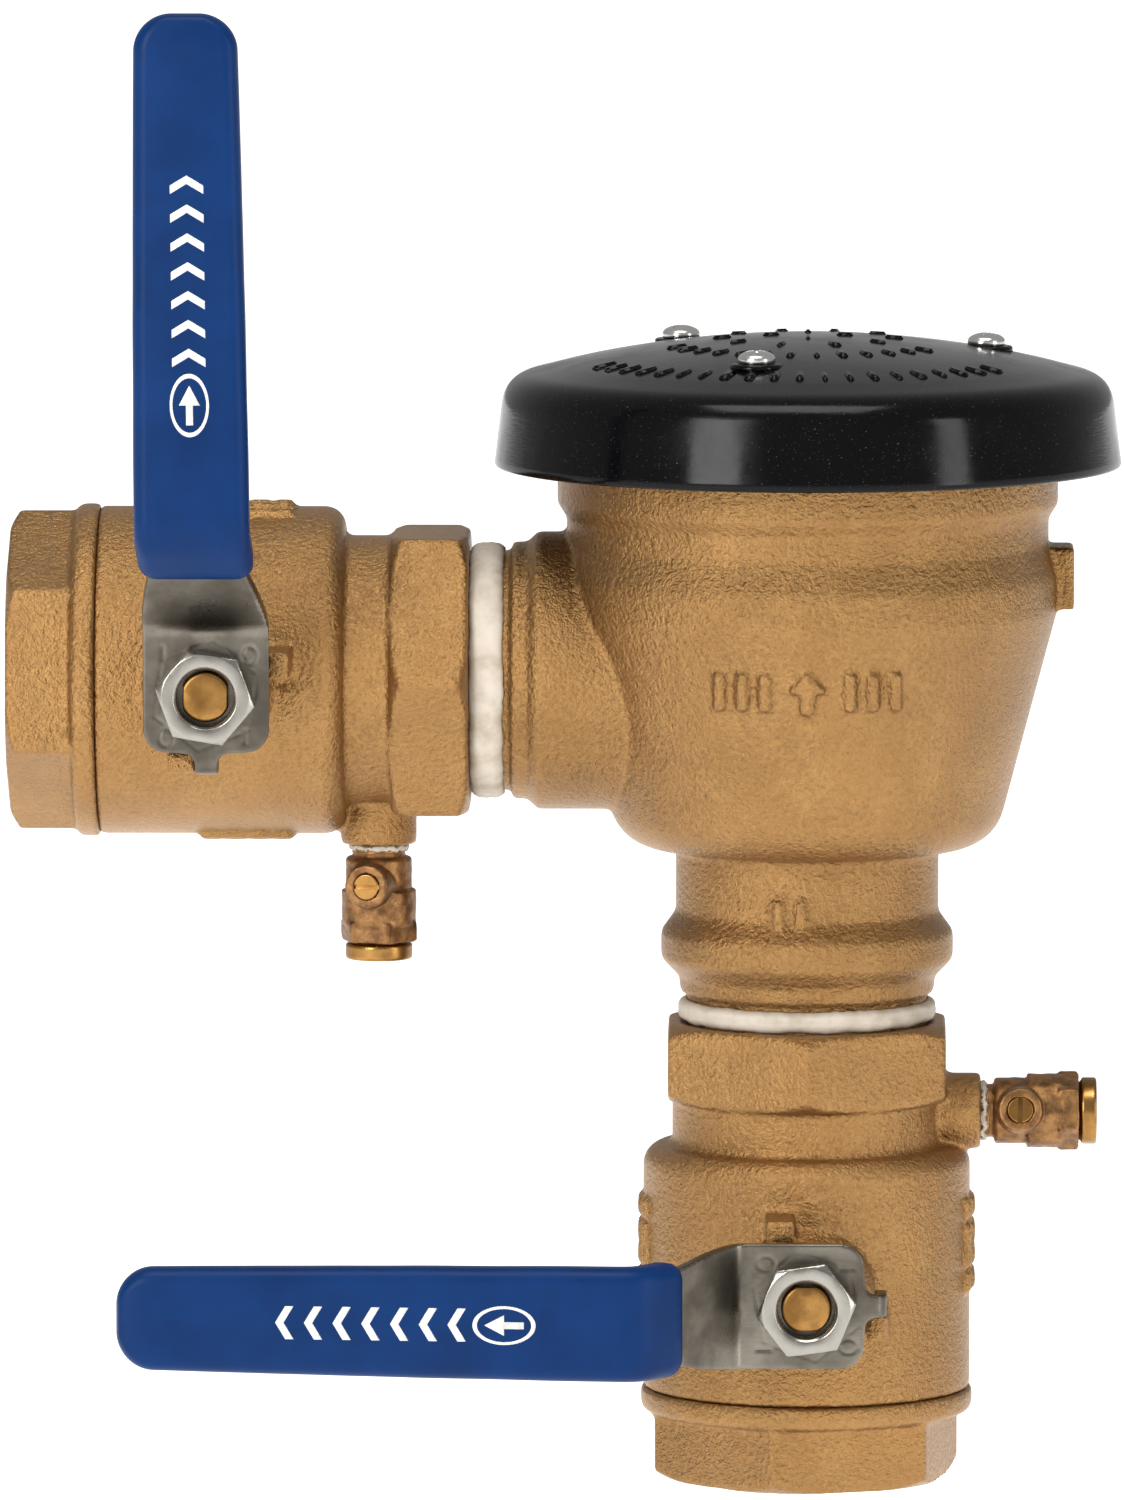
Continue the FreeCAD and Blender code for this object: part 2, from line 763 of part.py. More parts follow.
def airGuide():
    # Three spokes pressed into the bonnet's opening carry the poppet's guide.
    hub = rod(air_stem_r + 4, hub_top - 8, hub_top)
    spokes = [turnedAbout(block(2, air_opening_r + 2, -3, 3, bonnet_top - 6, bonnet_top), angle)
              for angle in spoke_angles]
    inside = rod(air_opening_r, bonnet_top - 7, hub_top + 1)
    stem_hole = rod(air_stem_r + running_gap, hub_top - 9, hub_top + 1)
    return hub.fuse(spokes).common(inside).cut(stem_hole).removeSplitter()


def onScrewCircle(shape, angle):
    moved = shape.copy()
    moved.translate(V(screw_circle_r, 0, 0))
    return turnedAbout(moved, angle)


def bonnetSeal():
    inner = bonnet_thread_r - 2.4
    return turned([
        (inner, rim_z - 7),
        (bonnet_thread_r - 0.05, rim_z - 7, 0.8),
        (bonnet_thread_r - 0.05, rim_z - 4.6, 0.8),
        (inner, rim_z - 4.6)])


def domeSolid(shrink, foot):
    # Skirt and dome of the canopy with a rounded shoulder, moved in by the shrink.
    skirt = turned([
        (0, foot),
        (canopy_r - shrink, foot),
        (canopy_top_r - shrink, canopy_apex),
        (0, canopy_apex)])
    centre = V(0, 0, canopy_apex - canopy_dome_r)
    dome = skirt.common(Part.makeSphere(canopy_dome_r - shrink, centre))
    shoulder = [edge for edge in dome.Edges
                if edge.Length > 4 * canopy_top_r
                and edge.BoundBox.ZMin > foot + 5
                and edge.BoundBox.ZLength < 0.1]
    return dome.makeFillet(canopy_shoulder_r - shrink, shoulder)


def canopy():
    shell = domeSolid(0, canopy_foot).cut(domeSolid(canopy_wall, canopy_foot - 1))
    pads = [onScrewCircle(rod(6, post_top, screw_seat), angle) for angle in screw_angles]
    holes = [onScrewCircle(rod(screw_r + running_gap, post_top - 1, screw_seat + 1), angle)
             for angle in screw_angles]
    faces = [onScrewCircle(rod(screw_head_r + 0.6, screw_seat, canopy_apex), angle)
             for angle in screw_angles]
    return shell.fuse(pads).cut(holes + faces).removeSplitter()


def canopyScrews():
    screw = turned([
        (0, screw_seat - screw_length),
        (screw_r, screw_seat - screw_length),
        (screw_r, screw_seat),
        (screw_head_r, screw_seat),
        (screw_head_r, screw_seat + screw_head_height, 1.8),
        (0, screw_seat + screw_head_height)])
    return Part.makeCompound([onScrewCircle(screw, angle) for angle in screw_angles])


# Check valve and air inlet

def checkSeat():
    seat = turned([
        (check_bore_r, seat_foot),
        (check_seat_r, seat_foot),
        (check_seat_r, floor_z),
        (check_bore_r + 3, floor_z),
        (check_bore_r + 2.2, seat_lip),
        (check_bore_r + 0.8, seat_lip),
        (check_bore_r, floor_z)])
    arms = [turnedAbout(block(check_stem_r + 1, check_bore_r + 1, -2, 2,
                              seat_foot, seat_foot + 4), 120 * step) for step in range(3)]
    hub = rod(check_stem_r + 3, seat_foot, seat_foot + 4)
    bore = rod(check_stem_r + running_gap, seat_foot - 1, seat_foot + 5)
    return seat.fuse([hub] + arms).cut(bore).removeSplitter()


def checkPoppet():
    return turned([
        (0, seat_foot - 8),
        (check_stem_r, seat_foot - 8, 1),
        (check_stem_r, plate_foot),
        (check_plate_r, plate_foot),
        (check_plate_r, plate_top, 1),
        (check_stem_r, plate_top, 1.5),
        (check_stem_r, cage_top + 8, 1),
        (0, cage_top + 8)])


def checkCage():
    base = ring(cage_foot_r - cage_width, cage_foot_r, floor_z, floor_z + 3)
    hub = rod(check_spring_r + 2, cage_top, cage_top + 4)
    pieces = [hub]
    for step in range(3):
        leg = block(cage_foot_r - 4, cage_foot_r, -3.5, 3.5, floor_z + 1, cage_top + 4)
        arm = block(check_stem_r + 1, cage_foot_r - 2, -3.5, 3.5, cage_top, cage_top + 4)
        pieces += [turnedAbout(piece, 120 * step) for piece in (leg, arm)]
    bore = rod(check_stem_r + running_gap, cage_top - 1, cage_top + 5)
    return base.fuse(pieces).cut(bore).removeSplitter()


def airPoppet():
    stem_top = hub_top + 4
    plate = turned([
        (0, air_plate_foot),
        (air_plate_r, air_plate_foot, 1.5),
        (air_plate_r, air_plate_top),
        (air_stem_r, air_plate_top, 1),
        (air_stem_r, hub_top + 0.1),
        (air_stem_r - 0.6, hub_top + 0.1),
        (air_stem_r - 0.6, hub_top + 1.6),
        (air_stem_r, hub_top + 1.6),
        (air_stem_r, stem_top, 0.8),
        (0, stem_top)])
    return plate


def airClip():
    plate = ring(air_stem_r - 0.6, air_stem_r + 3, hub_top + 0.1, hub_top + 1.6)
    return plate.cut(block(0, air_stem_r + 4, -1.6, 1.6, hub_top, hub_top + 2))


def save(name, shape, frame=inlet_frame):
    placed = shape.copy()
    placed.Placement = frame.multiply(placed.Placement)
    assert placed.isValid(), name
    placed.exportStep(os.path.join("parts", name + ".step"))


def saveValve(side, flat_angle, arm_shifts, frame):
    centred_ball = floatingBall(ball_r, ball_bore_r, tang_width, tang_length, ball_slot_depth)
    seats = seatPair(ball_r, valve_waterway_r - 0.5, seat_r, seat_far, seat_depth)
    for shape in (centred_ball, seats):
        shape.translate(V(0, 0, stem_at))
    handle = valveHandle(*arm_shifts)
    save(side + "_valve_body", valveBody(), frame)
    save(side + "_end_piece", endPiece(flat_angle), frame)
    save(side + "_end_seal", endSeal(), frame)
    save(side + "_ball", centred_ball, frame)
    save(side + "_ball_seats", seats, frame)
    save(side + "_stem", valveStem(), frame)
    save(side + "_stem_packing", stemPacking(), frame)
    save(side + "_packing_nut", packingNut(), frame)
    save(side + "_handle", handle, frame)
    save(side + "_handle_nut", handleNut(), frame)
    save(side + "_grip", valveGrip(handle, *arm_shifts), frame)


def saveCock(side, turn, frame):
    centred_ball = floatingBall(cock_ball_r, cock_bore_r, cock_tang_width,
                                2 * cock_tang_half, cock_slot_depth)
    seats = seatPair(cock_ball_r, cock_bore_r + 0.2, cock_ball_r + 0.1, cock_seat_far,
                     cock_seat_depth)
    for shape in (centred_ball, seats):
        shape.translate(V(0, 0, cock_stem_at))
    tape = ring(cock_thread_r, cock_thread_r + cock_tape_thickness, 0, cock_thread_out)
    pieces = {
        "_cock_body": cockBody(),
        "_cock_ball": centred_ball,
        "_cock_seats": seats,
        "_cock_stem": cockStem(),
        "_cock_stem_seal": cockStemSeal(),
        "_cock_tip": cockTip(),
        "_cock_tape": tape}
    for name, shape in pieces.items():
        moved = shape.copy()
        side_frame = FreeCAD.Placement(V(cock_boss_reach, 0, cock_at), cockSpin(turn))
        moved.Placement = side_frame.multiply(moved.Placement)
        save(side + name, moved, frame)


def cockSpin(turn):
    # Lays +Z along +X while -Y stays in front, then turns about the cock's axis.
    return FreeCAD.Rotation(V(1, 0, 0), turn).multiply(FreeCAD.Rotation(V(0, 1, 0), 90))


def main():
    os.makedirs("parts", exist_ok=True)
    saveValve("inlet", inlet_hex_angle, inlet_arm_shifts, inlet_frame)
    saveValve("outlet", outlet_hex_angle, outlet_arm_shifts, outlet_frame)
    saveCock("inlet", inlet_cock_turn, inlet_frame)
    saveCock("outlet", outlet_cock_turn, outlet_frame)
    save("vacuum_breaker_body", breakerBody())
    save("inlet_thread_tape", threadTape(valve_length, valve_length + 5,
                                         pipe_thread_r + tape_thickness))
    valve_face = outlet_reach - pipe_thread_engaged
    outlet_tape = toSide(threadTape(valve_face - 7.9, valve_face,
                                    pipe_thread_r + tape_thickness), 0, outlet_z)
    outlet_tape.rotate(V(0, 0, 0), V(0, 0, 1), 180)
    save("outlet_thread_tape", outlet_tape)
    save("bonnet", bonnet())
    for number, angle in enumerate(screw_angles, 1):
        save("canopy_post_%d" % number, canopyPost(angle))
    save("air_guide", airGuide())
    save("bonnet_o_ring", bonnetSeal())
    save("canopy", canopy())
    save("canopy_screws", canopyScrews())
    save("check_seat", checkSeat())
    save("check_cage", checkCage())
    save("check_poppet", checkPoppet())
    save("check_disc", ring(check_stem_r, check_plate_r - 0.5, disc_foot, plate_foot))
    save("check_spring", coil(check_spring_r, check_spring_wire, plate_top, cage_top, 6))
    save("air_poppet", airPoppet())
    save("air_poppet_seal", ring(air_plate_r - 3, air_plate_r, air_plate_top, seal_top))
    save("air_poppet_spring", coil(air_spring_r, air_spring_wire, air_plate_top,
                                   hub_top - 8, 5))
    save("air_poppet_clip", airClip())


main()
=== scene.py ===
import math

import bmesh
import bpy
from mathutils import Matrix, Vector, noise
from mathutils.bvhtree import BVHTree


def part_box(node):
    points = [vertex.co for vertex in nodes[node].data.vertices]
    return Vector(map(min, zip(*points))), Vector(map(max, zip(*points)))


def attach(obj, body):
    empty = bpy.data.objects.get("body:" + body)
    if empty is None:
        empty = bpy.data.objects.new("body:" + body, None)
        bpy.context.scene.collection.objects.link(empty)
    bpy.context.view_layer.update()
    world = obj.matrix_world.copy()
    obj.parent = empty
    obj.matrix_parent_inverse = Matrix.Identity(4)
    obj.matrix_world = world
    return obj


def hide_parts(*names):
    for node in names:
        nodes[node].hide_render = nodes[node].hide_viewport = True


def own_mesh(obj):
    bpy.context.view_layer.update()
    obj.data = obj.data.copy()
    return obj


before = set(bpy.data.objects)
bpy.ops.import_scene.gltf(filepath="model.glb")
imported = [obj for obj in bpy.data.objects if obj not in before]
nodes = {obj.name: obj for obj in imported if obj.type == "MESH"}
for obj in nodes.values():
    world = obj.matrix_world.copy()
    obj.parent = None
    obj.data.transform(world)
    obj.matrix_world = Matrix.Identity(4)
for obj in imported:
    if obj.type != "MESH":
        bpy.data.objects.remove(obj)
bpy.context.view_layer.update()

scene = bpy.context.scene
scene.view_settings.view_transform = "Standard"


# Shader maths: a socket that takes part in Python expressions

class Signal:
    def __init__(self, finish, socket):
        self.finish = finish
        self.socket = socket

    def __add__(self, other): return self.finish.maths("ADD", self, other)
    def __sub__(self, other): return self.finish.maths("SUBTRACT", self, other)
    def __mul__(self, other): return self.finish.maths("MULTIPLY", self, other)
    def __rsub__(self, other): return self.finish.maths("SUBTRACT", other, self)
    __radd__ = __add__
    __rmul__ = __mul__


class Finish:
    # One material with a Principled shader, built node by node.
    def __init__(self, name, **uniform):
        self.material = bpy.data.materials.new(name)
        self.material.use_nodes = True
        self.tree = self.material.node_tree
        self.tree.nodes.clear()
        self.shader = self.tree.nodes.new("ShaderNodeBsdfPrincipled")
        output = self.tree.nodes.new("ShaderNodeOutputMaterial")
        self.tree.links.new(self.shader.outputs[0], output.inputs[0])
        for socket, value in uniform.items():
            self.shader.inputs[socket.replace("_", " ")].default_value = value

    def add(self, kind, settings=None, sockets=None):
        node = self.tree.nodes.new(kind)
        for key, value in (settings or {}).items():
            setattr(node, key, value)
        for key, value in (sockets or {}).items():
            if isinstance(value, Signal):
                self.tree.links.new(value.socket, node.inputs[key])
            else:
                node.inputs[key].default_value = value
        return node

    def read(self, kind, output, settings=None, sockets=None):
        return Signal(self, self.add(kind, settings, sockets).outputs[output])

    def maths(self, operation, first, second):
        return self.read("ShaderNodeMath", 0, {"operation": operation},
                         {0: first, 1: second})

    def clamp(self, signal, low=0.0, high=1.0):
        return self.read("ShaderNodeClamp", 0, None, {0: signal, 1: low, 2: high})

    def remap(self, signal, low, high, newLow=0.0, newHigh=1.0):
        return self.read("ShaderNodeMapRange", 0, {"interpolation_type": "SMOOTHSTEP"},
                         {0: signal, 1: low, 2: high, 3: newLow, 4: newHigh})

    def mixColour(self, factor, first, second):
        return self.read("ShaderNodeMix", 2, {"data_type": "RGBA"},
                         {0: factor, 6: first, 7: second})

    def place(self):
        return self.read("ShaderNodeTexCoord", "Object")

    def noise(self, scale, detail=3.0, rough=0.55, where=None):
        return self.read("ShaderNodeTexNoise", 0, None,
                         {"Vector": where or self.place(), "Scale": scale, "Detail": detail,
                          "Roughness": rough})

    def stretched(self, x, y, z):
        return self.read("ShaderNodeMapping", 0, None,
                         {"Vector": self.place(), "Scale": (x, y, z)})

    def bump(self, height, distance, strength=1.0, under=None):
        sockets = {"Height": height, "Distance": distance, "Strength": strength}
        if under:
            sockets["Normal"] = under
        return self.read("ShaderNodeBump", 0, None, sockets)

    def feed(self, **signals):
        for name, signal in signals.items():
            self.tree.links.new(signal.socket, self.shader.inputs[name.replace("_", " ")])
        return self.material


def rgb(red, green, blue):
    # Display values out of 255, turned into the shader's linear colour.
    linear = [((v / 255 + 0.055) / 1.055) ** 2.4 if v > 10 else v / 255 / 12.92
              for v in (red, green, blue)]
    return (*linear, 1.0)


# Finishes

castLook = {"light": rgb(200, 155, 97), "body": rgb(149, 110, 65), "deep": rgb(60, 41, 23),
            "grain": 0.0012, "grainHeight": 0.00085, "rough": 0.34}


def castBronze(name, tint=1.0):
    look = castLook
    f = Finish(name, Metallic=0.88, Specular_IOR_Level=0.5)
    grain = f.noise(1 / look["grain"], 3, 0.6)
    fine = f.noise(2.6 / look["grain"], 2, 0.5)
    stain = f.noise(38, 4, 0.6)
    streak = f.noise(1, 4, 0.6, f.stretched(90, 90, 22))
    tone = f.clamp(grain * 0.9 + fine * 0.35 + stain * 0.7 - 0.5)
    base = f.mixColour(tone, look["deep"], look["light"])
    patch = f.remap(streak, 0.35, 0.7)
    body = tuple(c * tint for c in look["body"][:3]) + (1.0,)
    colour = f.mixColour(patch * 0.35 + 0.35, base, body)
    rough = f.remap(grain, 0.3, 0.7, look["rough"] - 0.06, look["rough"] + 0.10)
    lumps = f.bump(stain, 0.0010, 0.5)
    normal = f.bump(grain * 0.75 + fine * 0.25, look["grainHeight"], 1.0, lumps)
    return f.feed(Base_Color=colour, Roughness=rough, Normal=normal)


def cockBronze():
    # A small tumbled casting, redder than the valves, its tone varying at random in small
    # patches.
    f = Finish("cockBronze", Metallic=0.85)
    stain = f.noise(260, 5, 0.65)
    grain = f.noise(1500, 3, 0.6)
    colour = f.mixColour(f.remap(stain, 0.32, 0.68), rgb(96, 66, 40), rgb(150, 110, 68))
    rough = f.remap(grain, 0.3, 0.7, 0.34, 0.5)
    return f.feed(Base_Color=colour, Roughness=rough, Normal=f.bump(grain, 0.00008, 0.8))


def turnedBrass():
    f = Finish("turnedBrass", Metallic=1.0)
    lines = f.noise(1, 3, 0.6, f.stretched(900, 900, 900))
    stain = f.noise(120, 4, 0.6)
    colour = f.mixColour(f.remap(stain, 0.35, 0.7), rgb(158, 118, 66), rgb(116, 82, 42))
    rough = f.remap(stain, 0.3, 0.7, 0.24, 0.38)
    return f.feed(Base_Color=colour, Roughness=rough, Normal=f.bump(lines, 0.00003, 0.6))


def brushedSteel(name, along):
    f = Finish(name, Metallic=1.0)
    scale = {"x": (120, 2600, 2600), "z": (2600, 2600, 120)}[along]
    lines = f.noise(1, 2, 0.5, f.stretched(*scale))
    smudge = f.noise(60, 4, 0.6)
    colour = f.mixColour(f.remap(smudge, 0.3, 0.7), rgb(122, 116, 106), rgb(84, 78, 70))
    rough = f.remap(smudge * 0.6 + lines * 0.4, 0.3, 0.7, 0.24, 0.40)
    return f.feed(Base_Color=colour, Roughness=rough, Normal=f.bump(lines, 0.00002, 0.6))


def plainMetal(name, colour, rough):
    f = Finish(name, Metallic=1.0, Base_Color=colour)
    smudge = f.noise(300, 3, 0.6)
    return f.feed(Roughness=f.remap(smudge, 0.3, 0.7, rough, rough + 0.1),
                  Normal=f.bump(smudge, 0.00002, 0.5))


def dippedVinyl():
    f = Finish("dippedVinyl", Specular_IOR_Level=0.12)
    mottle = f.noise(45, 4, 0.6)
    peel = f.noise(420, 2, 0.5)
    colour = f.mixColour(f.remap(mottle, 0.25, 0.75), rgb(0, 34, 78), rgb(0, 42, 92))
    rough = f.remap(mottle, 0.3, 0.7, 0.38, 0.46)
    return f.feed(Base_Color=colour, Roughness=rough,
                  Normal=f.bump(peel, 0.00005, 0.5, f.bump(mottle, 0.0005, 0.2)))


def glossBlack():
    f = Finish("glossBlack", Specular_IOR_Level=0.14)
    haze = f.noise(55, 5, 0.65)
    dust = f.remap(f.noise(2600, 2, 0.5), 0.69, 0.74)
    scratch = f.noise(1, 2, 0.5, f.stretched(180, 180, 2600))
    colour = f.mixColour(dust * 0.35, rgb(5, 5, 6), rgb(120, 118, 114))
    rough = f.remap(haze, 0.3, 0.75, 0.10, 0.24) + dust * 0.3
    return f.feed(Base_Color=colour, Roughness=rough,
                  Normal=f.bump(scratch * 0.3 + haze, 0.0002, 0.25))


def wrappedTape():
    f = Finish("wrappedTape", Specular_IOR_Level=0.3)
    soil = f.noise(160, 4, 0.6)
    fibre = f.noise(900, 3, 0.6)
    colour = f.mixColour(f.remap(soil, 0.35, 0.75), rgb(190, 180, 166), rgb(164, 152, 134))
    rough = f.remap(fibre, 0.3, 0.7, 0.55, 0.75)
    return f.feed(Base_Color=colour, Roughness=rough, Normal=f.bump(fibre, 0.0001, 0.7))


def plainMoulding(name, colour, rough):
    f = Finish(name)
    speck = f.noise(500, 3, 0.6)
    dark = tuple(c * 0.8 for c in colour[:3]) + (1.0,)
    return f.feed(Base_Color=f.mixColour(f.remap(speck, 0.3, 0.7), colour, dark),
                  Roughness=f.remap(speck, 0.3, 0.7, rough, rough + 0.12),
                  Normal=f.bump(speck, 0.00004, 0.5))


finishes = {
    "valveBronze": castBronze("valveBronze"),
    "breakerBronze": castBronze("breakerBronze", 0.82),
    "turnedBrass": turnedBrass(),
    "cockBronze": cockBronze(),
    "steelAlongX": brushedSteel("steelAlongX", "x"),
    "steelAlongZ": brushedSteel("steelAlongZ", "z"),
    "brightSteel": plainMetal("brightSteel", rgb(200, 198, 194), 0.16),
    "ballChrome": plainMetal("ballChrome", rgb(214, 214, 216), 0.06),
    "springWire": plainMetal("springWire", rgb(170, 168, 162), 0.22),
    "dippedVinyl": dippedVinyl(),
    "glossBlack": glossBlack(),
    "wrappedTape": wrappedTape(),
    "nutSteel": plainMetal("nutSteel", rgb(150, 146, 138), 0.2),
    "whitePrint": plainMoulding("whitePrint", rgb(226, 226, 220), 0.5),
    "sealRubber": plainMoulding("sealRubber", rgb(26, 26, 27), 0.55),
    "seatPlastic": plainMoulding("seatPlastic", rgb(226, 224, 218), 0.42),
    "poppetPlastic": plainMoulding("poppetPlastic", rgb(52, 52, 56), 0.38)}
print("finishes made:", len(finishes))


# Which finish each CAD node wears

nodeFinish = {
    "vacuum_breaker_body": "breakerBronze", "bonnet": "turnedBrass",
    "air_guide": "turnedBrass", "canopy_post_1": "turnedBrass",
    "canopy_post_2": "turnedBrass", "canopy_post_3": "turnedBrass",
    "bonnet_o_ring": "sealRubber", "canopy": "glossBlack", "canopy_screws": "brightSteel",
    "check_seat": "turnedBrass", "check_cage": "poppetPlastic", "check_spring": "springWire",
    "air_poppet_spring": "springWire", "inlet_thread_tape": "wrappedTape",
    "outlet_thread_tape": "wrappedTape", "check_poppet": "poppetPlastic",
    "check_disc": "sealRubber", "air_poppet": "poppetPlastic",
    "air_poppet_seal": "sealRubber", "air_poppet_clip": "springWire"}
sideFinish = {
    "valve_body": "valveBronze", "end_piece": "valveBronze", "end_seal": "sealRubber",
    "ball": "ballChrome", "ball_seats": "seatPlastic", "stem": "turnedBrass",
    "stem_packing": "seatPlastic", "packing_nut": "turnedBrass", "handle_nut": "brightSteel",
    "grip": "dippedVinyl", "cock_body": "turnedBrass", "cock_tip": "turnedBrass",
    "cock_seats": "seatPlastic", "cock_tape": "wrappedTape", "cock_ball": "ballChrome",
    "cock_stem": "turnedBrass", "cock_stem_seal": "sealRubber"}
for side in ("inlet", "outlet"):
    for part, finish in sideFinish.items():
        nodeFinish[side + "_" + part] = finish
nodeFinish["inlet_handle"] = "steelAlongX"
nodeFinish["outlet_handle"] = "steelAlongZ"
for name, finish in nodeFinish.items():
    mesh = nodes[name].data
    mesh.materials.clear()
    mesh.materials.append(finishes[finish])
print("frame nodes finished:", len(nodeFinish))


# Shapes shared by several pieces, all in metres

mm = 0.001
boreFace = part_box("outlet_end_piece")
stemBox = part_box("inlet_stem")
valveFrame = {
    "inlet": Matrix.Identity(4),
    "outlet": Matrix.Translation((boreFace[0][0], 0, (boreFace[0][2] + boreFace[1][2]) / 2))
    @ Matrix.Rotation(math.pi / 2, 4, "Y")}
stemHeight = (stemBox[0][2] + stemBox[1][2]) / 2
# Lever frame: first along the lever from the stem, then across, then out of its face
leverFrame = {side: valveFrame[side] @ Matrix.Translation((0, 0, stemHeight))
              @ Matrix(((-1, 0, 0, 0), (0, 0, -1, 0), (0, -1, 0, 0), (0, 0, 0, 1)))
              for side in valveFrame}


def toMesh(bm, name):
    mesh = bpy.data.meshes.new(name)
    bm.to_mesh(mesh)
    bm.free()
    return mesh


def nodeCopy(*names):
    bm = bmesh.new()
    for name in names:
        bm.from_mesh(nodes[name].data)
    bmesh.ops.remove_doubles(bm, verts=bm.verts, dist=1e-6)
    return bm


def shaped(mesh, *steps):
    # Runs modifiers over a mesh and returns the result as plain faces.
    holder = bpy.data.objects.new("holder", mesh)
    scene.collection.objects.link(holder)
    for kind, settings in steps:
        modifier = holder.modifiers.new(kind, kind)
        for key, value in settings.items():
            setattr(modifier, key, value)
    graph = bpy.context.evaluated_depsgraph_get()
    result = bpy.data.meshes.new_from_object(holder.evaluated_get(graph))
    bpy.data.objects.remove(holder)
    bpy.data.meshes.remove(mesh)
    return result


def softened(bm, name, voxel, rounds, most):
    # One closed skin with rounded edges, as a casting has, under a given number of triangles.
    voxel = voxel * 1.0
    mesh = shaped(toMesh(bm, name), ("REMESH", {"mode": "VOXEL", "voxel_size": voxel}),
                  ("SMOOTH", {"factor": 0.5, "iterations": rounds}))
    triangles = 2 * len(mesh.polygons)
    if triangles > most:
        mesh = shaped(mesh, ("DECIMATE", {"ratio": most / triangles}))
    mesh.name = name
    return mesh


def loft(rings, closed=False):
    bm = bmesh.new()
    rows = [[bm.verts.new(point) for point in ring] for ring in rings]
    count = len(rows[0])
    pairs = list(zip(rows, rows[1:])) + ([(rows[-1], rows[0])] if closed else [])
    for low, high in pairs:
        for i in range(count):
            j = (i + 1) % count
            bm.faces.new((low[i], low[j], high[j], high[i]))
    if not closed:
        bm.faces.new(rows[0][::-1])
        bm.faces.new(rows[-1])
    bmesh.ops.recalc_face_normals(bm, faces=bm.faces)
    return bm


def prism(bm, outline, low, high, place):
    base = [bm.verts.new(place @ Vector((u, v, low))) for u, v in outline]
    top = [bm.verts.new(place @ Vector((u, v, high))) for u, v in outline]
    bm.faces.new(base[::-1])
    bm.faces.new(top)
    for i in range(len(base)):
        j = (i + 1) % len(base)
        bm.faces.new((base[i], base[j], top[j], top[i]))


def roundedPath(corners, step):
    # Points along straight runs whose corners are rounded; each corner is (x, y, radius).
    points = [Vector(corners[0][:2])]
    for before, at, after in zip(corners, corners[1:], corners[2:]):
        here = Vector(at[:2])
        inward = (Vector(before[:2]) - here).normalized()
        outward = (Vector(after[:2]) - here).normalized()
        half = inward.angle(outward) / 2
        reach = at[2] / math.tan(half)
        for part in range(9):
            t = part / 8
            first, last = here + inward * reach, here + outward * reach
            points.append(first.lerp(here, t).lerp(here.lerp(last, t), t))
    points.append(Vector(corners[-1][:2]))
    dense = [points[0]]
    for a, b in zip(points, points[1:]):
        parts = max(1, round((b - a).length / step))
        dense += [a.lerp(b, (i + 1) / parts) for i in range(parts) if (b - a).length > 1e-9]
    return dense


def finishPiece(name, mesh, coats, body, slotName, *replaced, smooth=True):
    for coat in coats:
        mesh.materials.append(finishes[coat])
    if smooth:
        for polygon in mesh.polygons:
            polygon.use_smooth = True
    piece = bpy.data.objects.new(name, mesh)
    scene.collection.objects.link(piece)
    if replaced:
        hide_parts(*replaced)
    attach(piece, body)
    return piece


def arrowOutline(length, width):
    return [(0, length / 2), (-width / 2, 0), (-width / 6, 0), (-width / 6, -length / 2),
            (width / 6, -length / 2), (width / 6, 0), (width / 2, 0)]


def barOutline(width, height):
    return [(-width / 2, -height / 2), (width / 2, -height / 2),
            (width / 2, height / 2), (-width / 2, height / 2)]


def raisedOn(bm, tree, where, towards, up, outline, proud):
    # Sets a raised mark on a surface: found by looking from where along towards.
    hit, normal, _, _ = tree.ray_cast(Vector(where), Vector(towards))
    if normal.dot(Vector(towards)) > 0:
        normal.negate()
    across = Vector(up).cross(normal).normalized()
    along = normal.cross(Vector(towards).cross(Vector(up))).normalized()
    place = Matrix((across, along, normal)).transposed().to_4x4()
    place.translation = hit
    prism(bm, outline, -1.5 * mm, proud, place)


# Sand castings: vacuum breaker body, valve bodies and end pieces

casting = {"voxel": 0.8 * mm, "rounds": 3, "most": 150000}
breakerMarks = {"places": (-3.9, -2.9, -1.9, 1.9, 2.9, 3.9), "pitch": 5.4 * mm,
                "height": 199 * mm, "bar": (2.7 * mm, 9.4 * mm), "arrow": (11 * mm, 9.5 * mm),
                "proud": 1.7 * mm, "smallPlaces": (-7.0 * mm, -1.5 * mm),
                "smallHeight": 142 * mm, "smallBar": (2.2 * mm, 6.4 * mm),
                "smallProud": 1.3 * mm}
valveMarks = {"rows": 4, "firstRow": 49, "rowPitch": 6, "bends": (-14, -5, 5, 14),
              "bar": (2.2 * mm, 4.6 * mm), "proud": 1.6 * mm, "ridges": 6, "firstRidge": 1,
              "ridgePitch": 1.5, "ridgeHeight": 69.5 * mm, "ridge": (0.9 * mm, 8.0 * mm),
              "ridgeProud": 0.9 * mm}


def castPiece(name, bm, coat, node):
    mesh = softened(bm, name, casting["voxel"], casting["rounds"], casting["most"])
    finishPiece(name, mesh, [coat], "valve_set", "cast_bronze", node)


def breakerCasting():
    bm = nodeCopy("vacuum_breaker_body")
    tree = BVHTree.FromBMesh(bm)
    m = breakerMarks
    ahead, up = (0, 1, 0), (0, 0, 1)
    for place in m["places"]:
        raisedOn(bm, tree, (place * m["pitch"], -0.3, m["height"]), ahead, up,
                 barOutline(*m["bar"]), m["proud"])
    raisedOn(bm, tree, (0, -0.3, m["height"]), ahead, up, arrowOutline(*m["arrow"]), m["proud"])
    for x in m["smallPlaces"]:
        raisedOn(bm, tree, (x, -0.3, m["smallHeight"]), ahead, up,
                 barOutline(*m["smallBar"]), m["smallProud"])
    castPiece("breakerCasting", bm, "breakerBronze", "vacuum_breaker_body")


